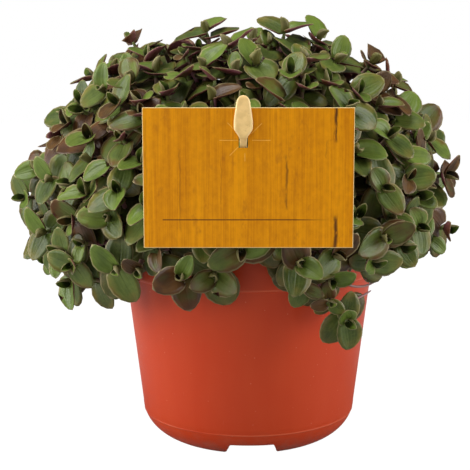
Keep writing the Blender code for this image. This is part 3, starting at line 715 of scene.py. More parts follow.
def leaf_finish(settings):
    """A leaf: green above and maroon below, with fine veins from base to tip and a pale margin line.

    The map gives the place across (0 to 1) and along; the growth attribute gives side, tone and age.
    """
    f = Finish("leaf", IOR=1.42, Specular_IOR_Level=0.34)
    where = f.place()
    across, along = f.map_place()
    across = (across - 0.5) * 2
    side, tone, age = f.growth()
    cloud = f.noise(where, 120, 2)
    soft = f.noise(where, 300, 3)
    fine = f.noise(where, 1500, 3, 0.6)
    veins = (across * 25 + (soft - 0.5) * 1.6).sine() * 0.5 + 0.5
    veins = veins ** 2 * along.between(0.0, 0.2) * (1 - 0.6 * along) * (1 - 0.6 * age)
    speckle = f.noise(where, 900, 3, 0.7).between(0.46, 0.66)
    midrib = abs(across).between(0.10, 0.0) * (1 - along)
    inward = abs(across).most(along * 1.06 - 0.08)
    rim = (inward + (soft - 0.5) * 0.05).between(0.88, 0.96)
    near_rim = (inward + (soft - 0.5) * 0.5).between(0.45, 1.0)
    lively = tone.least(0.7) - 0.35 + (soft - 0.5) * 0.7
    red = (tone + (cloud - 0.5) * 0.35 + near_rim * 0.10).between(0.76, 0.96)
    upper = f.layers(
        f.mix(age.between(0.02, 0.40), settings.young_green, settings.green),
        # Real ageing, and painted shade where inner shoots count as old by their depth under the dome.
        (age.between(0.55, 1.0), settings.old_and_shaded_green),
        ((lively + 0.05).clamped(), FRESH_GREEN),
        (((0 - lively) * 0.9).clamped(), SHADE_GREEN),
        (along.between(0.34, 0.02) * 0.40, BASE_GREEN),
        (veins * 0.18, VEIN_GREEN),
        (speckle * 0.22, SPECKLE_GREEN),
        (midrib * 0.25, MIDRIB_GREEN),
        ((1 - near_rim) * cloud.between(0.55, 0.35) * 0.40, HEART_GREEN),
        (near_rim * cloud.between(0.40, 0.62) * age.between(0.05, 0.4) * 0.80, OLIVE),
        (near_rim * age.between(0.35, 0.9) * 0.45, OLD_RIM),
        (red * 0.88, f.mix(cloud.between(0.35, 0.62), DARK_RED, WARM_RED)),
        # Painted shade: the base half of the youngest leaf's upper face turns near black inside its roll.
        (along.between(0.66, 0.34) * age.between(0.08, 0.03) * 0.88, BUD_HOLLOW_SHADE),
    )
    lower = f.layers(
        f.mix(tone.between(0.45, 0.9) * 0.8, settings.maroon, settings.rust),
        (cloud.between(0.42, 0.60) * 0.60, PURPLE),
        (veins * 0.25, LOWER_VEIN),
        (midrib * 0.4, LOWER_MIDRIB),
        (age.between(0.16, 0.04) * 0.6, YOUNG_LOWER),
    )
    colour = f.layers(lower, (side, upper), (rim * (0.80 - 0.35 * age), settings.margin))
    roughness = 0.40 + (fine - 0.5) * 0.20 + (1 - side) * 0.06 + veins * 0.06
    bumps = veins * 0.4 + fine * 0.45 + soft * 0.6 + cloud * 0.8 - midrib * 1.2
    return f.done(colour, roughness, bumps, 0.00022, 0.6)


def stem_finish(settings):
    """A fleshy stem: pink-purple when young and olive brown near the soil, with a fine grain."""
    f = Finish("stem", IOR=1.42)
    where = f.place()
    _, tone, age = f.growth()
    soft = f.noise(where, 300, 3)
    fine = f.noise(where, 1900, 2)
    colour = f.layers(
        f.mix((age + (soft - 0.5) * 0.4).between(0.25, 0.85), settings.stem, settings.old_stem),
        (tone * 0.45, STEM_OLIVE),
        (soft.between(0.55, 0.75) * 0.4, STEM_PINK),
        (age.between(0.14, 0.03), STEM_TOP),
    )
    return f.done(colour, 0.40 + fine * 0.16, fine + soft, 0.00015, 0.5)


def card_finish(settings):
    """Printed board: upright wood grain with streaks, a thin rule, slits by the slot, bare edges, and painted
    shade towards its right.
    """
    f = Finish("printed_board", Specular_IOR_Level=0.12)
    centre_x, low = float(CARD_LOW[0] + CARD_HIGH[0]) / 2, float(CARD_LOW[2])
    width, height = settings.width, settings.height
    where = f.place()
    x, y, z = f.parts(where)
    x, z = x - centre_x, z - low
    broad = f.drawn_noise((75, 75, 5), 3, 0.55)
    grain = f.drawn_noise((620, 620, 10), 3, 0.6)
    thread = f.drawn_noise((2300, 2300, 34), 2)
    cross = f.drawn_noise((420, 420, 300), 3, 0.65)
    tone = (broad - 0.5) * 1.3 + (grain - 0.5) * 1.3 + (thread - 0.5) * 0.8 + (cross - 0.5) * 0.9
    # The card darkens step by step towards its right: painted shade.
    tone = tone + x.between(-width * 0.15, width * 0.42) * 0.16 + 0.28
    stains = f.drawn_noise((230, 230, 120), 3, 0.6, (0.7, 0.2, 0.4)).between(0.58, 0.74)
    wobble = (f.drawn_noise((1, 1, 130), 3) - 0.5) * 0.0022
    ragged = f.drawn_noise((1200, 1200, 230), 3).between(0.30, 0.52)
    layers = [(stains * 0.40, STAIN)]
    for across, start, end, half, strength in STREAKS:
        reach = z.between(height * start, height * (start + 0.05))
        reach = reach * z.between(height * end, height * (end - 0.05))
        line = abs(x + wobble - width * across).between(half * 2.2, half * 0.3)
        layers.append((line * reach * ragged * strength, settings.ink))
    flecks = f.drawn_noise((420, 420, 150), 3, 0.7).between(0.69, 0.78)
    fade = x.between(width * 0.41, width * 0.20) * x.between(-width * 0.412, -width * 0.405)
    rule = abs(z + wobble * 0.05 - height * RULE_LEVEL).between(RULE_HALF * 1.7, RULE_HALF * 0.6)
    rule = rule * fade * f.noise(where, 1400, 2).between(0.1, 0.4)
    slot_x = STAKE_X - centre_x + float(PLACE[0]) + SLIT_SHIFT[0]
    slot_z = (SLOT_LOW + SLOT_HIGH) / 2 - low + SLIT_SHIFT[1]
    slits = None
    for degrees, start, end in SLITS:
        c, s = math.cos(math.radians(degrees)), math.sin(math.radians(degrees))
        along = (x - slot_x) * c + (z - slot_z) * s
        aside = abs((z - slot_z) * c - (x - slot_x) * s)
        slit = aside.between(0.00022, 0.00008) * along.between(start - 0.0003, start)
        slit = slit * along.between(end, end - 0.0005)
        slits = slit if slits is None else slits.most(slit)
    layers += [(flecks * 0.45, FLECK), (rule * 0.85, settings.ink), (slits * 0.50, SLIT)]
    colour = f.layers(f.mix(tone.clamped(), settings.colour, settings.dark_grain_and_shade), *layers)
    inset = (width / 2 - abs(x)).least(z.least(height - z))
    front = y.between(float(CARD_LOW[1]) + 0.00022, float(CARD_LOW[1]) + 0.00014)
    printed = front * inset.between(0.00010, 0.00030)
    fibre = f.noise(where, 1500, 4, 0.7)
    colour = f.mix(printed, f.mix(fibre, settings.board, BOARD_FIBRE), colour)
    roughness = 0.66 - printed * 0.20 + (fibre - 0.5) * 0.10
    return f.done(colour, roughness, thread * 0.3 + grain * 0.4 + fibre * 0.4 - slits * 2.0, 0.00006, 0.6)


def stake_finish(settings):
    """Milky moulded plastic: warm, a little clouded and pitted, paler towards its rim."""
    f = Finish("milky_plastic", IOR=1.46)
    where = f.place()
    cloud = f.noise(where, 330, 3)
    fine = f.noise(where, 1700, 2)
    rim = abs((f.map_place()[0] - 0.5) * 2)
    smooth = f.cells(where, 620).between(0.10, 0.30)
    colour = f.layers(
        settings.colour,
        (cloud.between(0.35, 0.7) * 0.6, MILK_CLOUD), ((1 - smooth) * 0.30, PIT),
        (rim.between(0.60, 0.98), settings.edge_colour),
    )
    bumps = cloud * 1.2 + fine * 0.5 + smooth * 0.6 + rim.between(0.60, 0.85) * 0.8
    return f.done(colour, 0.34 + fine * 0.14, bumps, 0.00022, 0.6)


# Grids

def unit(vectors):
    """Each vector at length one."""
    return vectors / np.maximum(np.linalg.norm(vectors, axis=-1, keepdims=True), 1e-12)


def polar(azimuth, radius, height):
    """Points at azimuths, radii and heights."""
    azimuth, radius, height = np.broadcast_arrays(azimuth, radius, height)
    return np.stack([radius * np.cos(azimuth), radius * np.sin(azimuth), height], axis=-1).astype(float)


def leaning(azimuth, degrees):
    """Unit directions at that many degrees from straight up, towards an azimuth."""
    lean = np.radians(degrees)
    return polar(azimuth, np.sin(lean), np.cos(lean))


def round_turns(count):
    """Angles spread evenly round a circle."""
    return np.linspace(0, 2 * math.pi, count, endpoint=False)


def off_axis(axes, steepest):
    """For each axis (n, 3), straight up, or along x where the axis is steeper than a limit."""
    return np.where(np.abs(axes[:, 2:3]) > steepest, ACROSS, UP)


def smooth_step(values, low, high):
    """0 below low, 1 above high, and 3s^2 - 2s^3 between."""
    share = np.clip((values - low) / (high - low), 0, 1)
    return share * share * (3 - 2 * share)


def tube_faces(count, rings, around):
    """Faces of tubes of rings by around points, each with a first and a last point at its poles.

    Point numbers run ring by ring, then the first pole and the last one. Faces point outwards where
    the rings turn the way that a right hand's fingers close round the direction from first to last.
    """
    size = rings * around + 2
    k, j = np.meshgrid(np.arange(rings - 1), np.arange(around), indexing="ij")
    a, b = k * around + j, k * around + (j + 1) % around
    quads = np.stack([a, b, b + around, a + around], axis=-1).reshape(-1, 4)
    j = np.arange(around)
    last = (rings - 1) * around
    first_fan = np.stack([(j + 1) % around, j, np.full(around, size - 2)], axis=-1)
    last_fan = np.stack([last + j, last + (j + 1) % around, np.full(around, size - 1)], axis=-1)
    fans = np.concatenate([first_fan, last_fan])
    shift = (np.arange(count) * size)[:, None, None]
    return (quads[None] + shift).reshape(-1, 4), (fans[None] + shift).reshape(-1, 3)


def growth_marks(side, tone, age):
    """Growth vectors, one a face, from arrays that broadcast to (tubes, faces)."""
    return np.stack(np.broadcast_arrays(side, tone, age), axis=-1).reshape(-1, 3)


class Shape:
    """Points and faces put together from grids, with a map and a growth vector for every face."""

    def __init__(self):
        self.points, self.places, self.count = [], [], 0
        self.faces, self.marks, self.finishes = ([], []), ([], []), ([], [])

    def add(self, points, quads, fans=(), places=None, marks=None, finish=0):
        """Adds points (n, 3), faces, map places (n, 2), and growth vectors for quads and for fans."""
        self.points.append(points)
        self.places.append(np.zeros((len(points), 2)) if places is None else places)
        for k, faces in enumerate((quads, fans)):
            if len(faces):
                self.faces[k].append(faces + self.count)
                self.marks[k].append(np.zeros((len(faces), 3)) if marks is None else marks[k])
                self.finishes[k].append(np.full(len(faces), finish))
        self.count += len(points)

    def add_tubes(self, points, rings, around, turned=False, places=None, marks=None, finish=0):
        """Adds tubes (n, points, 3), numbered as in tube_faces, with their faces turned round or not."""
        quads, fans = tube_faces(len(points), rings, around)
        if turned:
            quads, fans = quads[:, ::-1], fans[:, ::-1]
        self.add(points.reshape(-1, 3), quads, fans, places, marks, finish)

    def add_sheet(self, grid, closed=False):
        """Adds a grid of points (m, n, 3), closed both ways or open."""
        rows, columns = grid.shape[:2]
        cells = np.arange(rows if closed else rows - 1), np.arange(columns if closed else columns - 1)
        k, j = np.meshgrid(*cells, indexing="ij")
        k2, j2 = (k + 1) % rows, (j + 1) % columns
        quads = np.stack([k * columns + j, k2 * columns + j, k2 * columns + j2, k * columns + j2], axis=-1)
        shares = (np.linspace(0, 1, size) for size in (rows, columns))
        places = np.stack(np.meshgrid(*shares, indexing="ij"), axis=-1).reshape(-1, 2)
        self.add(grid.reshape(-1, 3), quads.reshape(-1, 4), places=places)

    def piece(self, name, *materials):
        """The finished object, at the origin with its place in its mesh."""
        points = np.concatenate(self.points) + PLACE
        quads, fans = (np.concatenate(faces) if faces else np.empty((0, 3), int) for faces in self.faces)
        mesh = bpy.data.meshes.new(name)
        mesh.from_pydata(points.tolist(), [], quads.tolist() + fans.tolist())
        finishes, marks = (np.concatenate(both[0] + both[1]) for both in (self.finishes, self.marks))
        mesh.polygons.foreach_set("material_index", finishes.astype(np.int32))
        corners = np.concatenate([quads.ravel(), fans.ravel()])
        layer = mesh.uv_layers.new(name="leaf")
        layer.data.foreach_set("uv", np.concatenate(self.places)[corners].astype(np.float32).ravel())
        growth = mesh.attributes.new("growth", "FLOAT_VECTOR", "FACE")
        growth.data.foreach_set("vector", marks.astype(np.float32).ravel())
        mesh.shade_smooth()
        mesh.validate()
        body = bpy.data.objects.new(name, mesh)
        bpy.context.scene.collection.objects.link(body)
        for material in materials:
            mesh.materials.append(material)
        return body


def rounded(corners):
    """A closed outline in which each corner (x, y, radius) becomes an arc, or stays where radius is 0."""
    outline = []
    spots = np.array([corner[:2] for corner in corners])
    for k, (x, y, radius) in enumerate(corners):
        here = spots[k]
        back, ahead = unit(spots[k - 1] - here), unit(spots[(k + 1) % len(spots)] - here)
        if radius <= 0:
            outline.append(here[None])
            continue
        half = math.acos(float(np.clip(back @ ahead, -1, 1))) / 2
        reach = radius / math.tan(half)
        middle = here + unit(back + ahead) * radius / math.sin(half)
        first, last = here + back * reach - middle, here + ahead * reach - middle
        turn = math.atan2(first[0] * last[1] - first[1] * last[0], first @ last)
        turns = np.linspace(0, turn, ROUND_STEPS)[:, None]
        square = np.array([-first[1], first[0]])
        outline.append(middle + first * np.cos(turns) + square * np.sin(turns))
    return np.concatenate(outline)


def declare(piece, node):
    """Hangs a piece on its body and hides the frame node that it stands for."""
    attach(piece, BODY)
    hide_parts(node)


# Pot

def wall_inside(height):
    """The inner radius of the pot's wall at a height."""
    heights = (WALL_LOW, RIM_LOW, POT_HEIGHT)
    radii = (WALL_LOW_RADIUS - WALL_THICK, WALL_TOP_RADIUS - WALL_THICK, RIM_RADIUS - RIM_THICK)
    return np.interp(height, heights, radii)


def pot_outline():
    """The pot's closed outline, down its outer side, across its underside and up inside.

    Each corner is (radius, height, rounding). Between wall and foot the outline is a quarter of an oval, with
    a thin seam raised on it by a bell curve.
    """
    near_seam = SEAM_HEIGHT + SEAM_HALF * np.linspace(-2, 2, 9)
    turns = np.linspace(0.06, 1, 15) * math.asin(WALL_LOW / CORNER_DEEP)
    turns = np.sort(np.concatenate([turns, np.arcsin((WALL_LOW - near_seam) / CORNER_DEEP)]))
    heights = np.maximum(WALL_LOW - CORNER_DEEP * np.sin(turns), 0)
    radii = WALL_LOW_RADIUS - CORNER_ACROSS * (1 - np.cos(turns))
    radii = radii + SEAM_DEPTH * np.exp(-(((heights - SEAM_HEIGHT) / SEAM_HALF) ** 2))
    corner = [(radius, height, 0) for radius, height in zip(radii, heights)]
    return rounded((
        (RIM_RADIUS, POT_HEIGHT, LIP_ROUND),
        (WALL_TOP_RADIUS + RIM_STEP, RIM_LOW, EDGE_ROUND),
        (WALL_TOP_RADIUS, RIM_LOW - RIM_STEP, 0.0005),
        (WALL_LOW_RADIUS, WALL_LOW, 0),
        *corner,
        (FOOT_INNER_RADIUS, 0, 0.0004),
        (FOOT_INNER_RADIUS - FOOT_DRAFT, FLOOR_UNDER, 0),
        (CENTRE_HOLE, FLOOR_UNDER, EDGE_ROUND),
        (CENTRE_HOLE, FLOOR_TOP, EDGE_ROUND),
        (FLOOR_RADIUS, FLOOR_TOP, 0.0008),
        (*INNER_CORNER, 0.002),
        (wall_inside(WALL_LOW), WALL_LOW, 0.006),
        (wall_inside(RIM_LOW), RIM_LOW, 0.010),
        (wall_inside(POT_HEIGHT), POT_HEIGHT, LIP_ROUND),
    ))


def make_pot(settings):
    """The pot, turned: each outline point goes round the axis, and at the foot up to max(z, notch height).

    The notch height falls with the distance from the notch's middle plane, by a smooth step.
    """
    outline = pot_outline()
    apart = 2 * math.pi / NOTCH_COUNT
    half_notch = (NOTCH_LOW_WIDTH / 2 + NOTCH_MARGIN) / FOOT_INNER_RADIUS
    near_notch = np.linspace(-1, 1, NOTCH_COLUMNS) * half_notch
    middles = FRONT_NOTCH + apart * np.arange(NOTCH_COUNT)
    azimuths = np.concatenate([round_turns(settings.sides), (middles[:, None] + near_notch).ravel()])
    azimuths = np.unique(np.round(azimuths % (2 * math.pi), 4))
    from_notch = (azimuths - FRONT_NOTCH + apart / 2) % apart - apart / 2
    radii = np.broadcast_to(outline[None, :, 0], (len(azimuths), len(outline)))
    heights = np.broadcast_to(outline[None, :, 1], radii.shape)
    aside = np.abs(np.sin(from_notch))[:, None] * radii
    notch = NOTCH_HEIGHT * smooth_step(aside, NOTCH_LOW_WIDTH / 2, NOTCH_HIGH_WIDTH / 2)
    at_foot = (radii > FOOT_INNER_RADIUS - 0.0003) & (heights < NOTCH_HEIGHT)
    heights = np.where(at_foot, np.maximum(heights, notch), heights)
    shape = Shape()
    shape.add_sheet(polar(azimuths[:, None], radii, heights)[:, ::-1], closed=True)
    pot = shape.piece("flower_pot", pot_finish(settings))
    cut_drains(pot)
    pot.data.shade_smooth()
    pot.data.set_sharp_from_angle(angle=math.radians(40))
    declare(pot, "pot")


def cut_drains(pot):
    """Cuts the round drain holes through the floor with one Boolean."""
    turns = round_turns(DRAIN_SIDES)
    middles = polar(round_turns(DRAIN_COUNT) + math.pi / DRAIN_COUNT, DRAIN_RING, 0)
    ends = (FLOOR_UNDER - CUT_MARGIN, FLOOR_TOP + CUT_MARGIN)
    column = np.concatenate([polar(turns, DRAIN_RADIUS, z) for z in ends] + [UP[None] * z for z in ends])
    shape = Shape()
    shape.add_tubes(middles[:, None] + column, len(ends), len(turns))
    cutter = shape.piece("drain_cutter")
    boolean = pot.modifiers.new("Drains", "BOOLEAN")
    boolean.object = cutter
    boolean.operation = "DIFFERENCE"
    boolean.solver = "EXACT"
    cut = bpy.data.meshes.new_from_object(pot.evaluated_get(bpy.context.evaluated_depsgraph_get()))
    pot.modifiers.clear()
    pot.data = cut
    bpy.data.objects.remove(cutter)


# Soil

def soil_height(radius):
    """The height of the soil's mounded top at a radius, falling with the radius squared."""
    return SOIL_TOP + SOIL_MOUND * (1 - (radius / wall_inside(SOIL_TOP)) ** 2)


def ripple(points, rng):
    """Uneven heights: a sum of sine waves of random direction and phase, each shorter wave lower."""
    total = np.zeros(points.shape[:-1])
    for k in range(RIPPLE_COUNT):
        length = RIPPLE_LENGTH * RIPPLE_SHORTER**k
        direction = unit(rng.normal(size=3)) * 2 * math.pi / length
        wave = np.sin(points @ direction + rng.uniform(0, 2 * math.pi))
        total += wave * RIPPLE_HEIGHT * RIPPLE_LOWER**k
    return total


def make_soil(settings):
    """The soil: a mound over a turned root ball, its top raised by ripples, with loose crumbs on it."""
    rng = np.random.default_rng(SOIL_SEED)
    edge = float(wall_inside(SOIL_TOP)) - FIT
    shares = np.linspace(0.02, 1, SOIL_RINGS)
    turns = round_turns(SOIL_SIDES)
    radii = shares[:, None] * edge
    top = polar(turns[None], radii, soil_height(radii))
    fade = 1 - smooth_step(shares, 0.9, 1.0)[:, None]
    top[..., 2] += ripple(top, rng) * fade
    low = [(float(wall_inside(z)) - FIT, z) for z in (SOIL_TOP - 0.001, RIM_LOW, WALL_LOW)]
    low += [(FLOOR_RADIUS - 0.0015, FLOOR_TOP + FIT), (0.002, FLOOR_TOP + FIT)]
    grid = np.concatenate([top, [polar(turns, radius, z) for radius, z in low]])
    poles = grid[[0, -1]].mean(axis=1)
    shape = Shape()
    points = np.concatenate([grid.reshape(-1, 3), poles])
    shape.add_tubes(points[None], len(grid), len(turns), turned=True)
    add_crumbs(shape, settings, rng, edge)
    declare(shape.piece("potting_soil", soil_finish(settings)), "soil")


def add_crumbs(shape, settings, rng, edge):
    """Adds crumbs: small balls of 5 rings by 7 points, each stretched and dented at random."""
    count, rings, around = settings.crumbs, 5, 7
    rise = np.linspace(-math.pi / 2, math.pi / 2, rings + 2)[1:-1, None]
    ball = polar(round_turns(around), np.cos(rise), np.sin(rise)).reshape(-1, 3)
    ball = np.concatenate([ball, [-UP, UP]])
    sizes = settings.crumb_size / 2 * rng.uniform(0.3, 1, count) ** 1.5
    stretch = rng.uniform(0.55, 1, (count, 1, 3))
    dents = rng.uniform(0.78, 1.15, (count, len(ball), 1))
    azimuths = rng.uniform(0, 2 * math.pi, count)
    where = polar(azimuths, (edge - CRUMB_MARGIN) * np.sqrt(rng.uniform(0, 1, count)), 0)
    where[:, 2] = soil_height(np.hypot(where[:, 0], where[:, 1])) + sizes * 0.2
    points = where[:, None] + ball[None] * stretch * dents * sizes[:, None, None]
    shape.add_tubes(points, rings, around)


# Card and stake

def rectangle(centre, size, per_side):
    """Points round a rectangle, from its lower left corner and turning left, its corners among them."""
    half_x, half_z = size[0] / 2, size[1] / 2
    corners = np.array([(-half_x, -half_z), (half_x, -half_z), (half_x, half_z), (-half_x, half_z)])
    shares = np.arange(per_side)[:, None] / per_side
    sides = [corners[k] + (corners[(k + 1) % 4] - corners[k]) * shares for k in range(4)]
    return np.concatenate(sides) + centre


def make_card(settings):
    """The card: rings from the slot's edge out to the card's, front and back, in one closed sheet."""
    middle = np.array([(CARD_LOW[0] + CARD_HIGH[0]) / 2 - PLACE[0], (CARD_LOW[2] + CARD_HIGH[2]) / 2])
    slot_middle = np.array([STAKE_X, (SLOT_LOW + SLOT_HIGH) / 2])
    card_size = np.array([settings.width, settings.height])
    slot_size = np.array([SLOT_WIDTH, SLOT_HIGH - SLOT_LOW])
    per_side, bevel = 24, CARD_BEVEL
    outer, trim = (rectangle(middle, card_size - less, per_side) for less in (0, bevel * 2))
    inner, lip = (rectangle(slot_middle, slot_size + more, per_side) for more in (0, bevel * 2))
    front, back = CARD_LOW[1] - PLACE[1], CARD_HIGH[1] - PLACE[1]
    shares = np.concatenate([[0], np.linspace(0.03, 0.97, 7), [1]])
    faces = [lip + (trim - lip) * share for share in shares]
    rings = [(inner, front + bevel), *((face, front) for face in faces), (outer, front + bevel)]
    rings += [(outer, back - bevel), *((face, back) for face in faces[::-1]), (inner, back - bevel)]
    grid = np.stack([np.stack([ring[:, 0], np.full(len(ring), y), ring[:, 1]], axis=-1) for ring, y in rings])
    shape = Shape()
    shape.add_sheet(grid, closed=True)
    card = shape.piece("plant_card", card_finish(settings))
    card.data.set_sharp_from_angle(angle=math.radians(30))
    declare(card, "tag_card")


def smooth_route(points, steps):
    """A smooth curve through points: cubic stretches, each end parallel to its neighbours' chord."""
    padded = np.concatenate([[2 * points[0] - points[1]], points, [2 * points[-1] - points[-2]]])
    shares = np.linspace(0, 1, steps, endpoint=False)[:, None]
    stretches = []
    for a, b, c, d in zip(padded, padded[1:], padded[2:], padded[3:]):
        square, cube = 2 * a - 5 * b + 4 * c - d, 3 * b - a - 3 * c + d
        stretches.append(0.5 * (2 * b + (c - a) * shares + square * shares**2 + cube * shares**3))
    return np.concatenate(stretches + [points[-1:]])


def make_stake(settings):
    """The stake: a flattened oval carried down the route, wide and round-topped at its head and narrow below.

    The head's half width grows from its top as a circle's does, swells a little, and eases into the shank's.
    Round it, the oval goes as the cosine to the power 0.7 and the sine to the power 0.55.
    """
    route = np.column_stack([np.full(len(STAKE_ROUTE), STAKE_X), STAKE_ROUTE])
    route[0, 2] -= HEAD_DROP
    route = smooth_route(route, 9)
    travelled = np.concatenate([[0], np.cumsum(np.linalg.norm(np.diff(route, axis=0), axis=1))])
    stations = np.unique(np.concatenate([travelled, HEAD_STATIONS]))
    stations = stations[stations > 0.0001]
    route = np.column_stack([np.interp(stations, travelled, route[:, k]) for k in range(3)])
    face = np.cross(unit(np.gradient(route, axis=0)), ACROSS)
    head = settings.head_width / 2
    top = np.sqrt(np.clip(1 - (1 - np.minimum(stations / (head * 0.95), 1)) ** 2, 0, 1))
    swell = HEAD_TOP_SHARE + (1 - HEAD_TOP_SHARE) * smooth_step(stations, *HEAD_SWELL)
    end = smooth_step(stations, *(settings.head_length * share for share in HEAD_END))
    half = head * top * swell * (1 - end) + STAKE_WIDTH / 2 * end
    point = smooth_step(travelled[-1] - stations, -0.0001, POINT_LENGTH)
    half = half * (POINT_SHARE + (1 - POINT_SHARE) * point)
    thick = STAKE_THICK / 2 * np.minimum(top + 0.25, 1)
    turns = round_turns(20)
    x = np.sign(np.cos(turns)) * np.abs(np.cos(turns)) ** 0.7
    y = np.sign(np.sin(turns)) * np.abs(np.sin(turns)) ** 0.55
    wide, deep = (x * half[:, None])[..., None], (y * thick[:, None])[..., None]
    rings = route[:, None] + ACROSS * wide + face[:, None] * deep
    poles = np.array([route[0] + UP * stations[0], route[-1] - UP * 0.0002])
    points = np.concatenate([rings.reshape(-1, 3), poles])
    places = np.zeros((len(points), 2))
    places[:, 0] = np.concatenate([np.tile(0.5 + 0.5 * x, len(rings)), [1, 0.5]])
    shape = Shape()
    shape.add_tubes(points[None], len(rings), len(turns), places=places)
    declare(shape.piece("card_stake", stake_finish(settings)), "tag_stake")


# Vine

def hem_drops(azimuths):
    """How far the lowest shoots hang below the dome's widest level, at azimuths."""
    return np.interp(np.degrees(azimuths) % 360, HEM_DEGREES, HEM_DROPS, period=360)


def dome_points(lifts, azimuths):
    """Points of the dome at angles above its widest level: an oval whose height and depth change round it.

    Each swell moves them outwards by a bell curve of the angle from its middle.
    """
    upper = lifts > 0
    reach = np.where(upper, DOME_RISE, hem_drops(azimuths))
    cosines = np.cos(lifts)
    shrink = np.where(upper, np.maximum(cosines, 0) ** DOME_FULLNESS, 1 - UNDERCUT * (1 - cosines))
    front = np.interp(np.degrees(lifts), FRONT_LIFTS, (DOME_BACK, DOME_FRONT))
    depth = np.where(np.sin(azimuths) < 0, front, DOME_BACK)
    points = np.stack([
        DOME_SHIFT * shrink + DOME_X * shrink * np.cos(azimuths),
        depth * shrink * np.sin(azimuths),
        DOME_LEVEL + reach * np.sin(lifts),
    ], axis=-1)
    outward = leaning(azimuths, 90 - np.degrees(lifts))
    for azimuth, lift, rise, reach in SWELLS:
        middle = leaning(math.radians(azimuth), 90 - lift)
        apart = np.degrees(np.arccos(np.clip(outward @ middle, -1, 1)))
        points = points + outward * (rise * np.exp(-((apart / reach) ** 2)))[..., None]
    return points


def spread(count, phase):
    """Shares, lifts and azimuths spread evenly over the dome by area, on a golden spiral from its top."""
    lifts = np.radians(np.linspace(90, LOWEST_LIFT, 200))
    radii = DOME_X * np.where(lifts > 0, np.cos(lifts), 1 - UNDERCUT * (1 - np.cos(lifts)))
    heights = np.where(lifts > 0, DOME_RISE, MEAN_DROP) * np.sin(lifts)
    bands = (radii[1:] + radii[:-1]) * np.hypot(np.diff(radii), np.diff(heights))
    areas = np.concatenate([[0], np.cumsum(bands)])
    shares = (np.arange(count) + 0.5) / count
    return shares, np.interp(shares * areas[-1], areas, lifts), phase + np.arange(count) * GOLDEN_TURN


def stem_curves(shares, lifts, azimuths):
    """The stems' cubic curves (n, 4, 3), from where they leave the soil to their outer ends under the dome.

    They rise straight up, and arrive along a lean that goes from none at the top to past level at the hem.
    """
    degrees = np.degrees(lifts)
    tables = (END_LEANS, ARRIVAL_LEANS, END_SINKS, STEM_RISES, STEM_GRIPS)
    end_lean, arrival_lean, sink, rise, grip = (np.interp(degrees, STEM_LIFTS, table) for table in tables)
    droop = np.where(lifts < 0, np.minimum(hem_drops(azimuths) / FULL_DROOP, 1), 1)
    end_lean = LEVEL_END_LEAN + (end_lean - LEVEL_END_LEAN) * droop
    arrival_lean = LEVEL_ARRIVAL_LEAN + (arrival_lean - LEVEL_ARRIVAL_LEAN) * droop
    radius = ROOT_RING * np.sqrt(shares)
    collar = polar(azimuths, radius, soil_height(radius))
    end = dome_points(lifts, azimuths) - leaning(azimuths, end_lean) * sink[:, None]
    room = np.maximum(np.hypot(end[:, 0], end[:, 1]) - radius - ROOT_GAP, LEAST_GRIP)
    longest = room / np.sin(np.radians(np.maximum(arrival_lean, 1)))
    grip = np.where(arrival_lean > LOW_ARRIVAL_LEAN, np.minimum(grip, longest), grip)
    arrival = end - leaning(azimuths, arrival_lean) * grip[:, None]
    return np.stack([collar, collar + UP * rise[:, None], arrival, end], axis=1)


def cubic_weights(shares):
    """How much each of a cubic curve's four points counts at shares of its way."""
    s = np.asarray(shares, float)
    return np.stack([(1 - s) ** 3, 3 * s * (1 - s) ** 2, 3 * s**2 * (1 - s), s**3], axis=-1)


def curve_points(curves, shares):
    """Points (n, m, 3) of cubic curves (n, 4, 3) at shares (m) of their way."""
    return np.einsum("mk,nkc->nmc", cubic_weights(shares), curves)


def add_stems(shape, routes, radii, ages, tone):
    """Adds stems: a circle of points carried along each route (n, m, 3), swelling a little at each joint.

    Radii and ages are those of a route's first and last points, and there is one tone for each route.
    """
    count, steps = routes.shape[:2]
    along = unit(np.gradient(routes, axis=1))
    chord = unit(routes[:, -1] - routes[:, 0])
    across = unit(np.cross(along, off_axis(chord, 0.8)[:, None]))
    third = np.cross(along, across)
    turns = round_turns(STEM_AROUND)
    shares = np.linspace(0, 1, steps)
    radius = radii[0] + (radii[1] - radii[0]) * shares[None, :, None]
    joints = np.maximum(np.cos(shares * 2 * math.pi * STEM_STRETCHES), 0) ** 6
    radius = radius * (1 + JOINT_SWELL * joints)[None, :, None]
    radius = radius * smooth_step(shares, 1.08, 0.90)[None, :, None]
    circle = across[:, :, None] * np.cos(turns)[:, None] + third[:, :, None] * np.sin(turns)[:, None]
    rings = routes[:, :, None] + circle * radius[..., None]
    ends = np.stack([routes[:, 0], routes[:, -1] + along[:, -1] * radii[1] * 0.4], axis=1)
    points = np.concatenate([rings.reshape(count, steps * STEM_AROUND, 3), ends], axis=1)
    quad_ages = ages[0] + (ages[1] - ages[0]) * np.repeat(shares[:-1], STEM_AROUND)
    fan_ages = np.repeat(ages, STEM_AROUND)
    marks = [growth_marks(1.0, tone[:, None], age) for age in (quad_ages, fan_ages)]
    shape.add_tubes(points, steps, STEM_AROUND, marks=marks, finish=1)


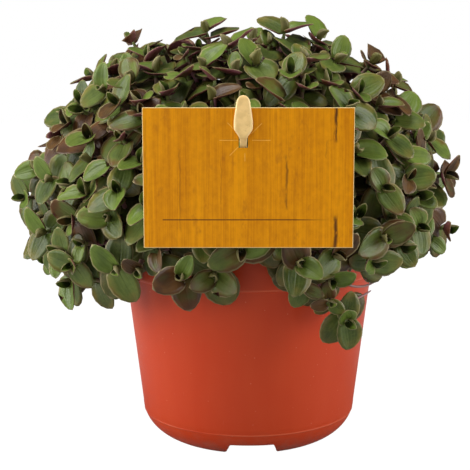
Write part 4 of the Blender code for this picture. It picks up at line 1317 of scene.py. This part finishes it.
def leaf_grids(base, outward, upward, length, width, thickness, roll, open_roll, bend, twist, wave, phase):
    """Points of leaves (n, p, 3).

    The half width at share t of the length is (t + 0.03)^0.36 (1 - t)^0.66, scaled to the leaf. Across, the
    blade is an arc of half angle roll at its base that opens to open_roll with (1 - t)^2, and is thickest in
    the middle. Along, it is an arc that turns down by bend, with two lobes at its base and a waved margin.
    """
    shares, across, sides = LEAF_SHARES[None, :, None], LEAF_ACROSS[None, None], LEAF_SIDES[None, None]
    form = (length, width, thickness, roll, open_roll, bend, twist, wave, phase)
    length, width, thickness, roll, open_roll, bend, twist, wave, phase = (
        np.asarray(value, float)[:, None, None] for value in form
    )
    half = width / 2 * (shares + 0.03) ** 0.36 * (1 - shares) ** 0.66 / LEAF_FORM_MOST
    arc = np.maximum(open_roll + (roll - open_roll) * (1 - shares) ** 2, 0.05)
    body = thickness / 2 * np.sqrt(1 - across**2) * sides * (1 - 0.45 * shares)
    x = half * np.sin(arc * across) / arc - body * np.sin(arc * across)
    rise = half * (1 - np.cos(arc * across)) / arc + body * np.cos(arc * across)
    rise = rise + wave * half * across**2 * np.sin(7.5 * shares + phase + across * 1.1)
    lobe = length * 0.15 * np.abs(across) ** 1.6 * (1 - shares) ** 5
    turn = twist * shares
    x, rise = x * np.cos(turn) - rise * np.sin(turn), x * np.sin(turn) + rise * np.cos(turn)
    bend = np.where(np.abs(bend) < 0.02, 0.02, bend)
    angle = bend * shares
    far = length * np.sin(angle) / bend - lobe * np.cos(angle) + rise * np.sin(angle)
    high = -length * (1 - np.cos(angle)) / bend + lobe * np.sin(angle) + rise * np.cos(angle)
    aside = np.cross(outward, upward)
    grid = (
        base[:, None, None]
        + x[..., None] * aside[:, None, None]
        + far[..., None] * outward[:, None, None]
        + high[..., None] * upward[:, None, None]
    )
    far_end = (length * np.sin(bend) / bend)[:, :, 0] * outward
    high_end = (-length * (1 - np.cos(bend)) / bend)[:, :, 0] * upward
    tips = base + far_end + high_end
    return np.concatenate([grid.reshape(len(base), -1, 3), base[:, None], tips[:, None]], axis=1)


def add_leaves(shape, points, tone, age):
    """Adds leaves by their points, each face marked as upper or lower and with its leaf's tone and age.

    The map gives the place across from 0 to 1, and along.
    """
    rings, around = len(LEAF_SHARES), len(LEAF_ACROSS)
    upper = (LEAF_SIDES + np.roll(LEAF_SIDES, -1) > 0).astype(float)
    marks = [growth_marks(np.tile(upper, bands), tone[:, None], age[:, None]) for bands in (rings - 1, 2)]
    along, across = np.meshgrid(LEAF_SHARES, 0.5 + 0.5 * LEAF_ACROSS, indexing="ij")
    places = np.concatenate([np.stack([across, along], axis=-1).reshape(-1, 2), [(0.5, 0), (0.5, 1)]])
    shape.add_tubes(points, rings, around, True, np.tile(places, (len(points), 1)), marks)


class Crowd:
    """Shapes that already stand, found by cells of space."""

    CELL = 0.02

    def __init__(self, fixed):
        self.fixed = fixed
        self.cells = {}

    def cell(self, centre):
        """The cell that a centre lies in."""
        return tuple(int(math.floor(c / self.CELL)) for c in centre)

    def crossings(self, tree, centre, owner):
        """How many face pairs of a shape cross other shoots, or BLOCKED where it crosses a fixed tree."""
        if any(tree.overlap(other) for other in self.fixed):
            return BLOCKED
        cell = self.cell(centre)
        total = 0
        for near in itertools.product((-1, 0, 1), repeat=3):
            for other_owner, other in self.cells.get(tuple(c + step for c, step in zip(cell, near)), ()):
                if other_owner != owner:
                    total += len(tree.overlap(other))
        return total

    def add(self, tree, centre, owner):
        """Remembers a placed shape."""
        self.cells.setdefault(self.cell(centre), []).append((owner, tree))


def node_tree(node):
    """A search tree of a frame node's mesh, round the pot's axis."""
    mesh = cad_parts[node].data
    points = np.empty(len(mesh.vertices) * 3)
    mesh.vertices.foreach_get("co", points)
    points = points.reshape(-1, 3) - PLACE
    return BVHTree.FromPolygons(points.tolist(), [tuple(face.vertices) for face in mesh.polygons])


def plan_shoots(settings, rng):
    """The shoots' tips, axes, depths and sizes: sprigs, then outer ones on the dome and inner ones."""
    sprigs, sprig_sizes = np.array(SPRIGS)[:, :3], np.array(SPRIGS)[:, 3]
    facing = np.interp(sprigs[:, 2], FACING_HEIGHTS, FACING_SHARES)[:, None] * np.array([0, -1, 0.1])
    plans = [(sprigs, unit(unit(sprigs - UP * DOME_LEVEL) + facing), np.zeros(len(sprigs)), sprig_sizes)]
    layers = ((settings.outer_shoots, OUTER_LAYER), (settings.inner_shoots, INNER_LAYER))
    for count, (phase, depth, spare) in layers:
        _, lifts, azimuths = spread(count, phase)
        lifts = lifts + rng.normal(0, SHOOT_STRAY, count)
        azimuths = azimuths + rng.normal(0, SHOOT_STRAY, count) / np.maximum(np.cos(lifts), 0.3)
        lifts = np.clip(lifts, math.radians(LOWEST_LIFT), math.pi / 2)
        lean = np.interp(np.degrees(lifts), SHOOT_LIFTS, SHOOT_LEANS)
        axes = leaning(azimuths, lean) + rng.normal(0, AXIS_STRAY, (count, 3))
        forward = np.where(np.sin(azimuths) < FORWARD_SINE, FORWARD_TURN, 0)
        axes[:, 1] -= np.cos(azimuths) ** 2 * np.sin(np.radians(lean)) * forward
        axes = unit(axes)
        sunk = depth + rng.uniform(-SHOOT_RISE, spare, count)
        outward = leaning(azimuths, np.interp(np.degrees(lifts), (-46, 0, 90), (105, 90, 0)))
        tips = dome_points(lifts, azimuths) - outward * sunk[:, None]
        clear = np.linalg.norm(tips[:, None] - sprigs, axis=2).min(axis=1) > SPRIG_SPACE
        left = int(clear.sum())
        plans.append((tips[clear], axes[clear], np.full(left, depth), rng.uniform(*SHOOT_SIZES, left)))
    return [np.concatenate(parts) for parts in zip(*plans)]


def plan_leaves(settings, rng, tips, axes, depths, scales):
    """Every leaf of every shoot, as arrays: its shoot, rank from the youngest, base, directions and form."""
    count, per_shoot = len(tips), len(RANK_SIZES)
    rank = np.tile(np.arange(per_shoot), count)
    shoot = np.repeat(np.arange(count), per_shoot)
    total = len(rank)
    high = np.clip((tips[:, 2] - LOW_TIPS) / (CAD_HIGH[2] - LOW_TIPS), 0, 1)[shoot]
    full = settings.low_leaf + (settings.high_leaf - settings.low_leaf) * high
    sizes = RANK_SIZES[rank] * rng.uniform(0.90, 1.10, total)
    length = full * sizes * scales[shoot]
    tilt = 10 * high + rng.normal(0, 8, total)
    start = rng.uniform(0, 2 * math.pi, count)[shoot]
    step = np.radians(rng.uniform(135, 165, count))[shoot]
    turn = start + rank * step + rng.normal(0, 0.12, total)
    roll = RANK_ROLLS[rank] + rng.normal(0, 0.10, total)
    open_roll = RANK_OPEN_ROLLS[rank] + rng.normal(0, 0.12, total)
    bend = RANK_BENDS[rank] + rng.normal(0, 0.17, total)
    spots = np.array(SUN_SPOTS)
    mirrored = tips * (1, -1, 1)
    far = np.minimum(*(((side[:, None] - spots[:, :3]) ** 2).sum(axis=2) for side in (tips, mirrored)))
    sun = (np.exp(-far / spots[:, 3] ** 2) * spots[:, 4]).sum(axis=1)
    tone = rng.uniform(0, 0.80, total) + (sun + rng.normal(0, 0.10, count))[shoot]
    widen = np.where(rank == 0, 1.40, 1)
    return {
        "shoot": shoot, "rank": rank, "length": length, "back": RANK_BACKS[rank], "turn": turn,
        "pitch": RANK_PITCHES[rank] + tilt * np.minimum(rank + 0.4, 1),
        "width": length * settings.leaf_width * widen * rng.uniform(0.92, 1.08, total),
        "roll": roll, "open_roll": open_roll, "bend": bend,
        "twist": rng.normal(0, 0.16, total), "wave": rng.uniform(0.0, 0.10, total),
        "phase": rng.uniform(*ALL_ROUND, total), "tone": np.clip(tone, 0, 1),
        # Leaves of inner shoots count as older by their depth under the dome, so they come out darker and
        # browner: painted shade of the dome's inside.
        "age": np.clip(RANK_AGES[rank] + depths[shoot] * 26, 0, 1),
        "base": tips[shoot], "axis": axes[shoot],
    }


def plan_old_leaves(settings, rng, branches):
    """Old leaves along the branches, darker and more drooping than the young ones."""
    places = curve_points(branches, OLD_SHARES)
    axes = unit(curve_points(branches, OLD_SHARES + 0.02) - places)
    count, each = places.shape[:2]
    total = count * each
    branch = np.repeat(np.arange(count), each)
    length = rng.uniform(0.010, 0.0145, total)
    return {
        "shoot": OLD_OWNERS + branch, "branch": branch, "rank": np.full(total, OLD_RANK), "length": length,
        "back": np.zeros(total), "pitch": rng.uniform(74, 112, total), "turn": rng.uniform(*ALL_ROUND, total),
        "width": length * settings.leaf_width, "roll": rng.uniform(0.4, 0.9, total),
        "open_roll": rng.uniform(0.1, 0.6, total),
        "bend": rng.uniform(0.0, 0.8, total), "twist": rng.normal(0, 0.25, total),
        "wave": rng.uniform(0.0, 0.16, total), "phase": rng.uniform(*ALL_ROUND, total),
        "tone": rng.uniform(0.15, 0.95, total), "age": rng.uniform(0.8, 1.0, total),
        "base": places.reshape(-1, 3), "axis": axes.reshape(-1, 3),
    }


def leaf_points(settings, plan, tilt, swing, shrink):
    """The points of planned leaves, tilted or swung by some degrees, or shrunk."""
    axis = plan["axis"]
    first = unit(np.cross(axis, off_axis(axis, 0.9)))
    second = np.cross(axis, first)
    turn = (plan["turn"] + math.radians(swing))[:, None]
    across = first * np.cos(turn) + second * np.sin(turn)
    lean = np.radians(plan["pitch"] + tilt)[:, None]
    outward = across * np.sin(lean) + axis * np.cos(lean)
    upward = axis * np.sin(lean) - across * np.cos(lean)
    reach = settings.shoot_radius * np.where(plan["rank"] < 2, 1.6, 1.0)
    base = plan["base"] - axis * plan["back"][:, None] + across * reach[:, None]
    thickness = np.full(len(axis), settings.leaf_thickness)
    form = (plan[name] for name in ("roll", "open_roll", "bend", "twist", "wave", "phase"))
    return leaf_grids(
        base, outward, upward, plan["length"] * shrink, plan["width"] * shrink, thickness, *form
    )


def settle(settings, plan, crowd, allowed):
    """Points and a mask of the leaves that find room, each in the first of its poses that crosses least."""
    tries = np.stack([leaf_points(settings, plan, *pose) for pose in POSES])
    quads, fans = tube_faces(1, len(LEAF_SHARES), len(LEAF_ACROSS))
    faces = quads.tolist() + fans.tolist()
    low, high = CAD_LOW - PLACE - SPARE_BELOW, CAD_HIGH - PLACE + SPARE_ABOVE
    inside = ((tries > low) & (tries < high)).all(axis=(2, 3))
    centres = tries.mean(axis=2)
    chosen = np.full(len(plan["rank"]), -1)
    for k, owner in enumerate(plan["shoot"].tolist()):
        best = None
        for pose in np.flatnonzero(inside[:, k]):
            tree = BVHTree.FromPolygons(tries[pose, k].tolist(), faces)
            crossings = crowd.crossings(tree, centres[pose, k], owner)
            if best is None or crossings < best[0]:
                best = (crossings, pose, tree)
            if crossings == 0:
                break
        if best and best[0] <= allowed:
            chosen[k] = best[1]
            crowd.add(best[2], centres[best[1], k], owner)
    return tries[np.maximum(chosen, 0), np.arange(len(chosen))], chosen >= 0


def nearest(points, ends):
    """For each point, the number of the nearest end."""
    return np.argmin(np.linalg.norm(points[:, None] - ends[None], axis=2), axis=1)


def make_vines(settings):
    """The leafy stems: one piece for each of the frame's stems, with the shoots and twigs nearest to it.

    Stems, branches and twigs are cubic curves. A branch leaves its stem at a share of the stem's way and
    arrives along its shoot's axis.
    """
    rng = np.random.default_rng(settings.seed)
    stems = stem_curves(*spread(STEM_COUNT, STEM_PHASE))
    ends = stems[:, 3]
    tips, axes, depths, scales = plan_shoots(settings, rng)
    owner = nearest(tips, ends)
    start = rng.uniform(*BRANCH_STARTS, len(tips))
    roots = np.einsum("nk,nkc->nc", cubic_weights(start), stems[owner])
    neck = tips - axes * NECK
    gap = np.linalg.norm(neck - roots, axis=1)[:, None]
    leaving = roots + (ends[owner] - roots) * BRANCH_GRIPS[0]
    arriving = neck - axes * gap * BRANCH_GRIPS[1]
    branches = np.stack([roots, leaving, arriving, neck], axis=1)
    straight = neck[:, None] + axes[:, None] * NECK_STEPS[:, None]
    branch_routes = curve_points(branches, np.linspace(0, 1, BRANCH_STEPS))
    branch_routes = np.concatenate([branch_routes, straight], axis=1)
    stem_routes = curve_points(stems, np.linspace(0, 1, STEM_STEPS))
    stem_routes = np.concatenate([stem_routes[:, :1] - UP * ROOT_DEPTH, stem_routes], axis=1)
    twig_routes = curve_points(np.array(TWIGS), np.linspace(0, 1, TWIG_STEPS))
    twig_owner = nearest(twig_routes[:, 0], ends)
    crowd = Crowd([node_tree(node) for node in ("pot", "tag_card", "tag_stake")])
    young = plan_leaves(settings, rng, tips, axes, depths, scales)
    young_points, young_kept = settle(settings, young, crowd, YOUNG_CROSSINGS)
    old = plan_old_leaves(settings, rng, branches)
    old_points, old_kept = settle(settings, old, crowd, OLD_CROSSINGS)
    materials = leaf_finish(settings), stem_finish(settings)
    tone = rng.uniform(0, 1, len(tips))
    thick, thin = settings.shoot_radius * 1.15, settings.shoot_radius
    twig_radii = TWIG_RADIUS, TWIG_RADIUS * TWIG_TAPER
    for k in range(STEM_COUNT):
        shape = Shape()
        mine = owner == k
        add_stems(shape, stem_routes[k:k + 1], (settings.stem_radius, thick), STEM_AGES, tone[k:k + 1])
        add_stems(shape, branch_routes[mine], (thick, thin), BRANCH_AGES, tone[mine])
        bare = twig_routes[twig_owner == k]
        add_stems(shape, bare, twig_radii, TWIG_AGES, tone[:len(bare)])
        for plan, points, kept, shoot in (
            (young, young_points, young_kept, young["shoot"]), (old, old_points, old_kept, old["branch"]),
        ):
            leaves = kept & mine[shoot]
            add_leaves(shape, points[leaves], plan["tone"][leaves], plan["age"][leaves])
        declare(shape.piece(f"leafy_stem_{k + 1:02d}", *materials), f"vine_{k + 1:02d}")


# Stage

def make_stage(settings):
    """A wide pale floor, a white room, a lamp on each side, one in front and one above, and the camera."""
    scene = bpy.context.scene
    scene.view_settings.view_transform = "Standard"
    line = np.linspace(-FLOOR_HALF, FLOOR_HALF, FLOOR_POINTS)
    flat = np.zeros((FLOOR_POINTS, FLOOR_POINTS))
    shape = Shape()
    shape.add_sheet(np.stack([*np.meshgrid(line, line, indexing="ij"), flat], axis=-1))
    paint = Finish("pale_floor", Roughness=0.9, Base_Color=(*settings.floor, 1))
    white = paint.node("ShaderNodeEmission", {}, {"Strength": SEEN_WHITE})
    paint.seen_as(settings.whiteness, paint.shader, white, "Material Output")
    shape.piece("floor", paint.material)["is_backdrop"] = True
    scene.world = bpy.data.worlds.new("white_room")
    scene.world.use_nodes = True
    room = Nodes(scene.world.node_tree)
    dim = room.node("ShaderNodeBackground", {}, {"Color": WHITE, "Strength": settings.surround})
    bright = room.node("ShaderNodeBackground", {}, {"Color": WHITE})
    room.seen_as(1, dim, bright, "World Output")
    axis_x, axis_y = float(PLACE[0]), float(PLACE[1])
    aim = Vector((axis_x, axis_y, AIM_HEIGHT))
    for name, place, size, power in (
        ("left_lamp", (-0.95, -0.16, 0.34), (0.7, 0.6), settings.side_light * LEFT_SHARE),
        ("right_lamp", (0.95, -0.16, 0.34), (0.7, 0.6), settings.side_light),
        ("front_lamp", (-0.50, -0.90, 0.36), (0.7, 0.5), settings.front_light),
        ("top_lamp", (-0.15, -0.20, 1.0), (0.6, 0.4), settings.top_light),
    ):
        light = bpy.data.lights.new(name, "AREA")
        light.shape = "RECTANGLE"
        light.size, light.size_y = size
        light.energy = power
        lamp = bpy.data.objects.new(name, light)
        lamp.location = place
        lamp.rotation_euler = (aim - lamp.location).to_track_quat("-Z", "Y").to_euler()
        scene.collection.objects.link(lamp)
    camera = bpy.data.objects.new("camera", bpy.data.cameras.new("camera"))
    camera.location = (axis_x, axis_y - settings.distance, settings.height)
    camera.rotation_euler = (math.pi / 2 - settings.pitch, 0, 0)
    camera.data.lens = settings.lens
    camera.data.sensor_width = SENSOR_WIDTH
    camera.data.shift_x, camera.data.shift_y = CAMERA_SHIFT
    camera.data.clip_start, camera.data.clip_end = 0.01, 20
    scene.collection.objects.link(camera)
    scene.camera = camera


# Add-on

class TURTLEVINE_OT_stage(bpy.types.Operator):
    """Make the floor, the lights and the camera"""

    bl_idname = "turtle_vine.stage"
    bl_label = "Stage"

    def execute(self, context):
        make_stage(context.scene.turtle_vine.stage)
        return {"FINISHED"}


class TURTLEVINE_OT_pot(bpy.types.Operator):
    """Make the pot"""

    bl_idname = "turtle_vine.pot"
    bl_label = "Pot"

    def execute(self, context):
        make_pot(context.scene.turtle_vine.pot)
        return {"FINISHED"}


class TURTLEVINE_OT_soil(bpy.types.Operator):
    """Make the soil"""

    bl_idname = "turtle_vine.soil"
    bl_label = "Soil"

    def execute(self, context):
        make_soil(context.scene.turtle_vine.soil)
        return {"FINISHED"}


class TURTLEVINE_OT_card(bpy.types.Operator):
    """Make the card"""

    bl_idname = "turtle_vine.card"
    bl_label = "Card"

    def execute(self, context):
        make_card(context.scene.turtle_vine.card)
        return {"FINISHED"}


class TURTLEVINE_OT_stake(bpy.types.Operator):
    """Make the stake"""

    bl_idname = "turtle_vine.stake"
    bl_label = "Stake"

    def execute(self, context):
        make_stake(context.scene.turtle_vine.stake)
        return {"FINISHED"}


class TURTLEVINE_OT_vines(bpy.types.Operator):
    """Make the leafy stems"""

    bl_idname = "turtle_vine.vines"
    bl_label = "Leafy stems"

    def execute(self, context):
        make_vines(context.scene.turtle_vine.vine)
        return {"FINISHED"}


class TURTLEVINE_PT_panel(bpy.types.Panel):
    """Lists the pieces and their settings"""

    bl_idname = "TURTLEVINE_PT_panel"
    bl_label = "Turtle Vine"
    bl_space_type = "VIEW_3D"
    bl_region_type = "UI"
    bl_category = "Turtle Vine"

    def draw(self, context):
        settings = context.scene.turtle_vine
        for part, operator in PIECES:
            box = self.layout.box()
            box.operator(operator)
            group = getattr(settings, part)
            for name in group.__annotations__:
                box.prop(group, name)


PIECES = (
    ("stage", "turtle_vine.stage"),
    ("pot", "turtle_vine.pot"),
    ("soil", "turtle_vine.soil"),
    ("card", "turtle_vine.card"),
    ("stake", "turtle_vine.stake"),
    ("vine", "turtle_vine.vines"),
)

CLASSES = (
    PotSettings, SoilSettings, CardSettings, StakeSettings, VineSettings, StageSettings, TurtleVineSettings,
    TURTLEVINE_OT_stage, TURTLEVINE_OT_pot, TURTLEVINE_OT_soil, TURTLEVINE_OT_card, TURTLEVINE_OT_stake,
    TURTLEVINE_OT_vines, TURTLEVINE_PT_panel,
)


def register():
    """Registers the classes and hangs the settings on the scene."""
    for cls in CLASSES:
        bpy.utils.register_class(cls)
    bpy.types.Scene.turtle_vine = PointerProperty(type=TurtleVineSettings)


def unregister():
    """Takes the settings and the classes away again."""
    del bpy.types.Scene.turtle_vine
    for cls in reversed(CLASSES):
        bpy.utils.unregister_class(cls)


def main():
    """Makes every piece in order."""
    register()
    bpy.ops.turtle_vine.stage()
    bpy.ops.turtle_vine.pot()
    bpy.ops.turtle_vine.soil()
    bpy.ops.turtle_vine.card()
    bpy.ops.turtle_vine.stake()
    bpy.ops.turtle_vine.vines()


if __name__ == "__main__":
    main()
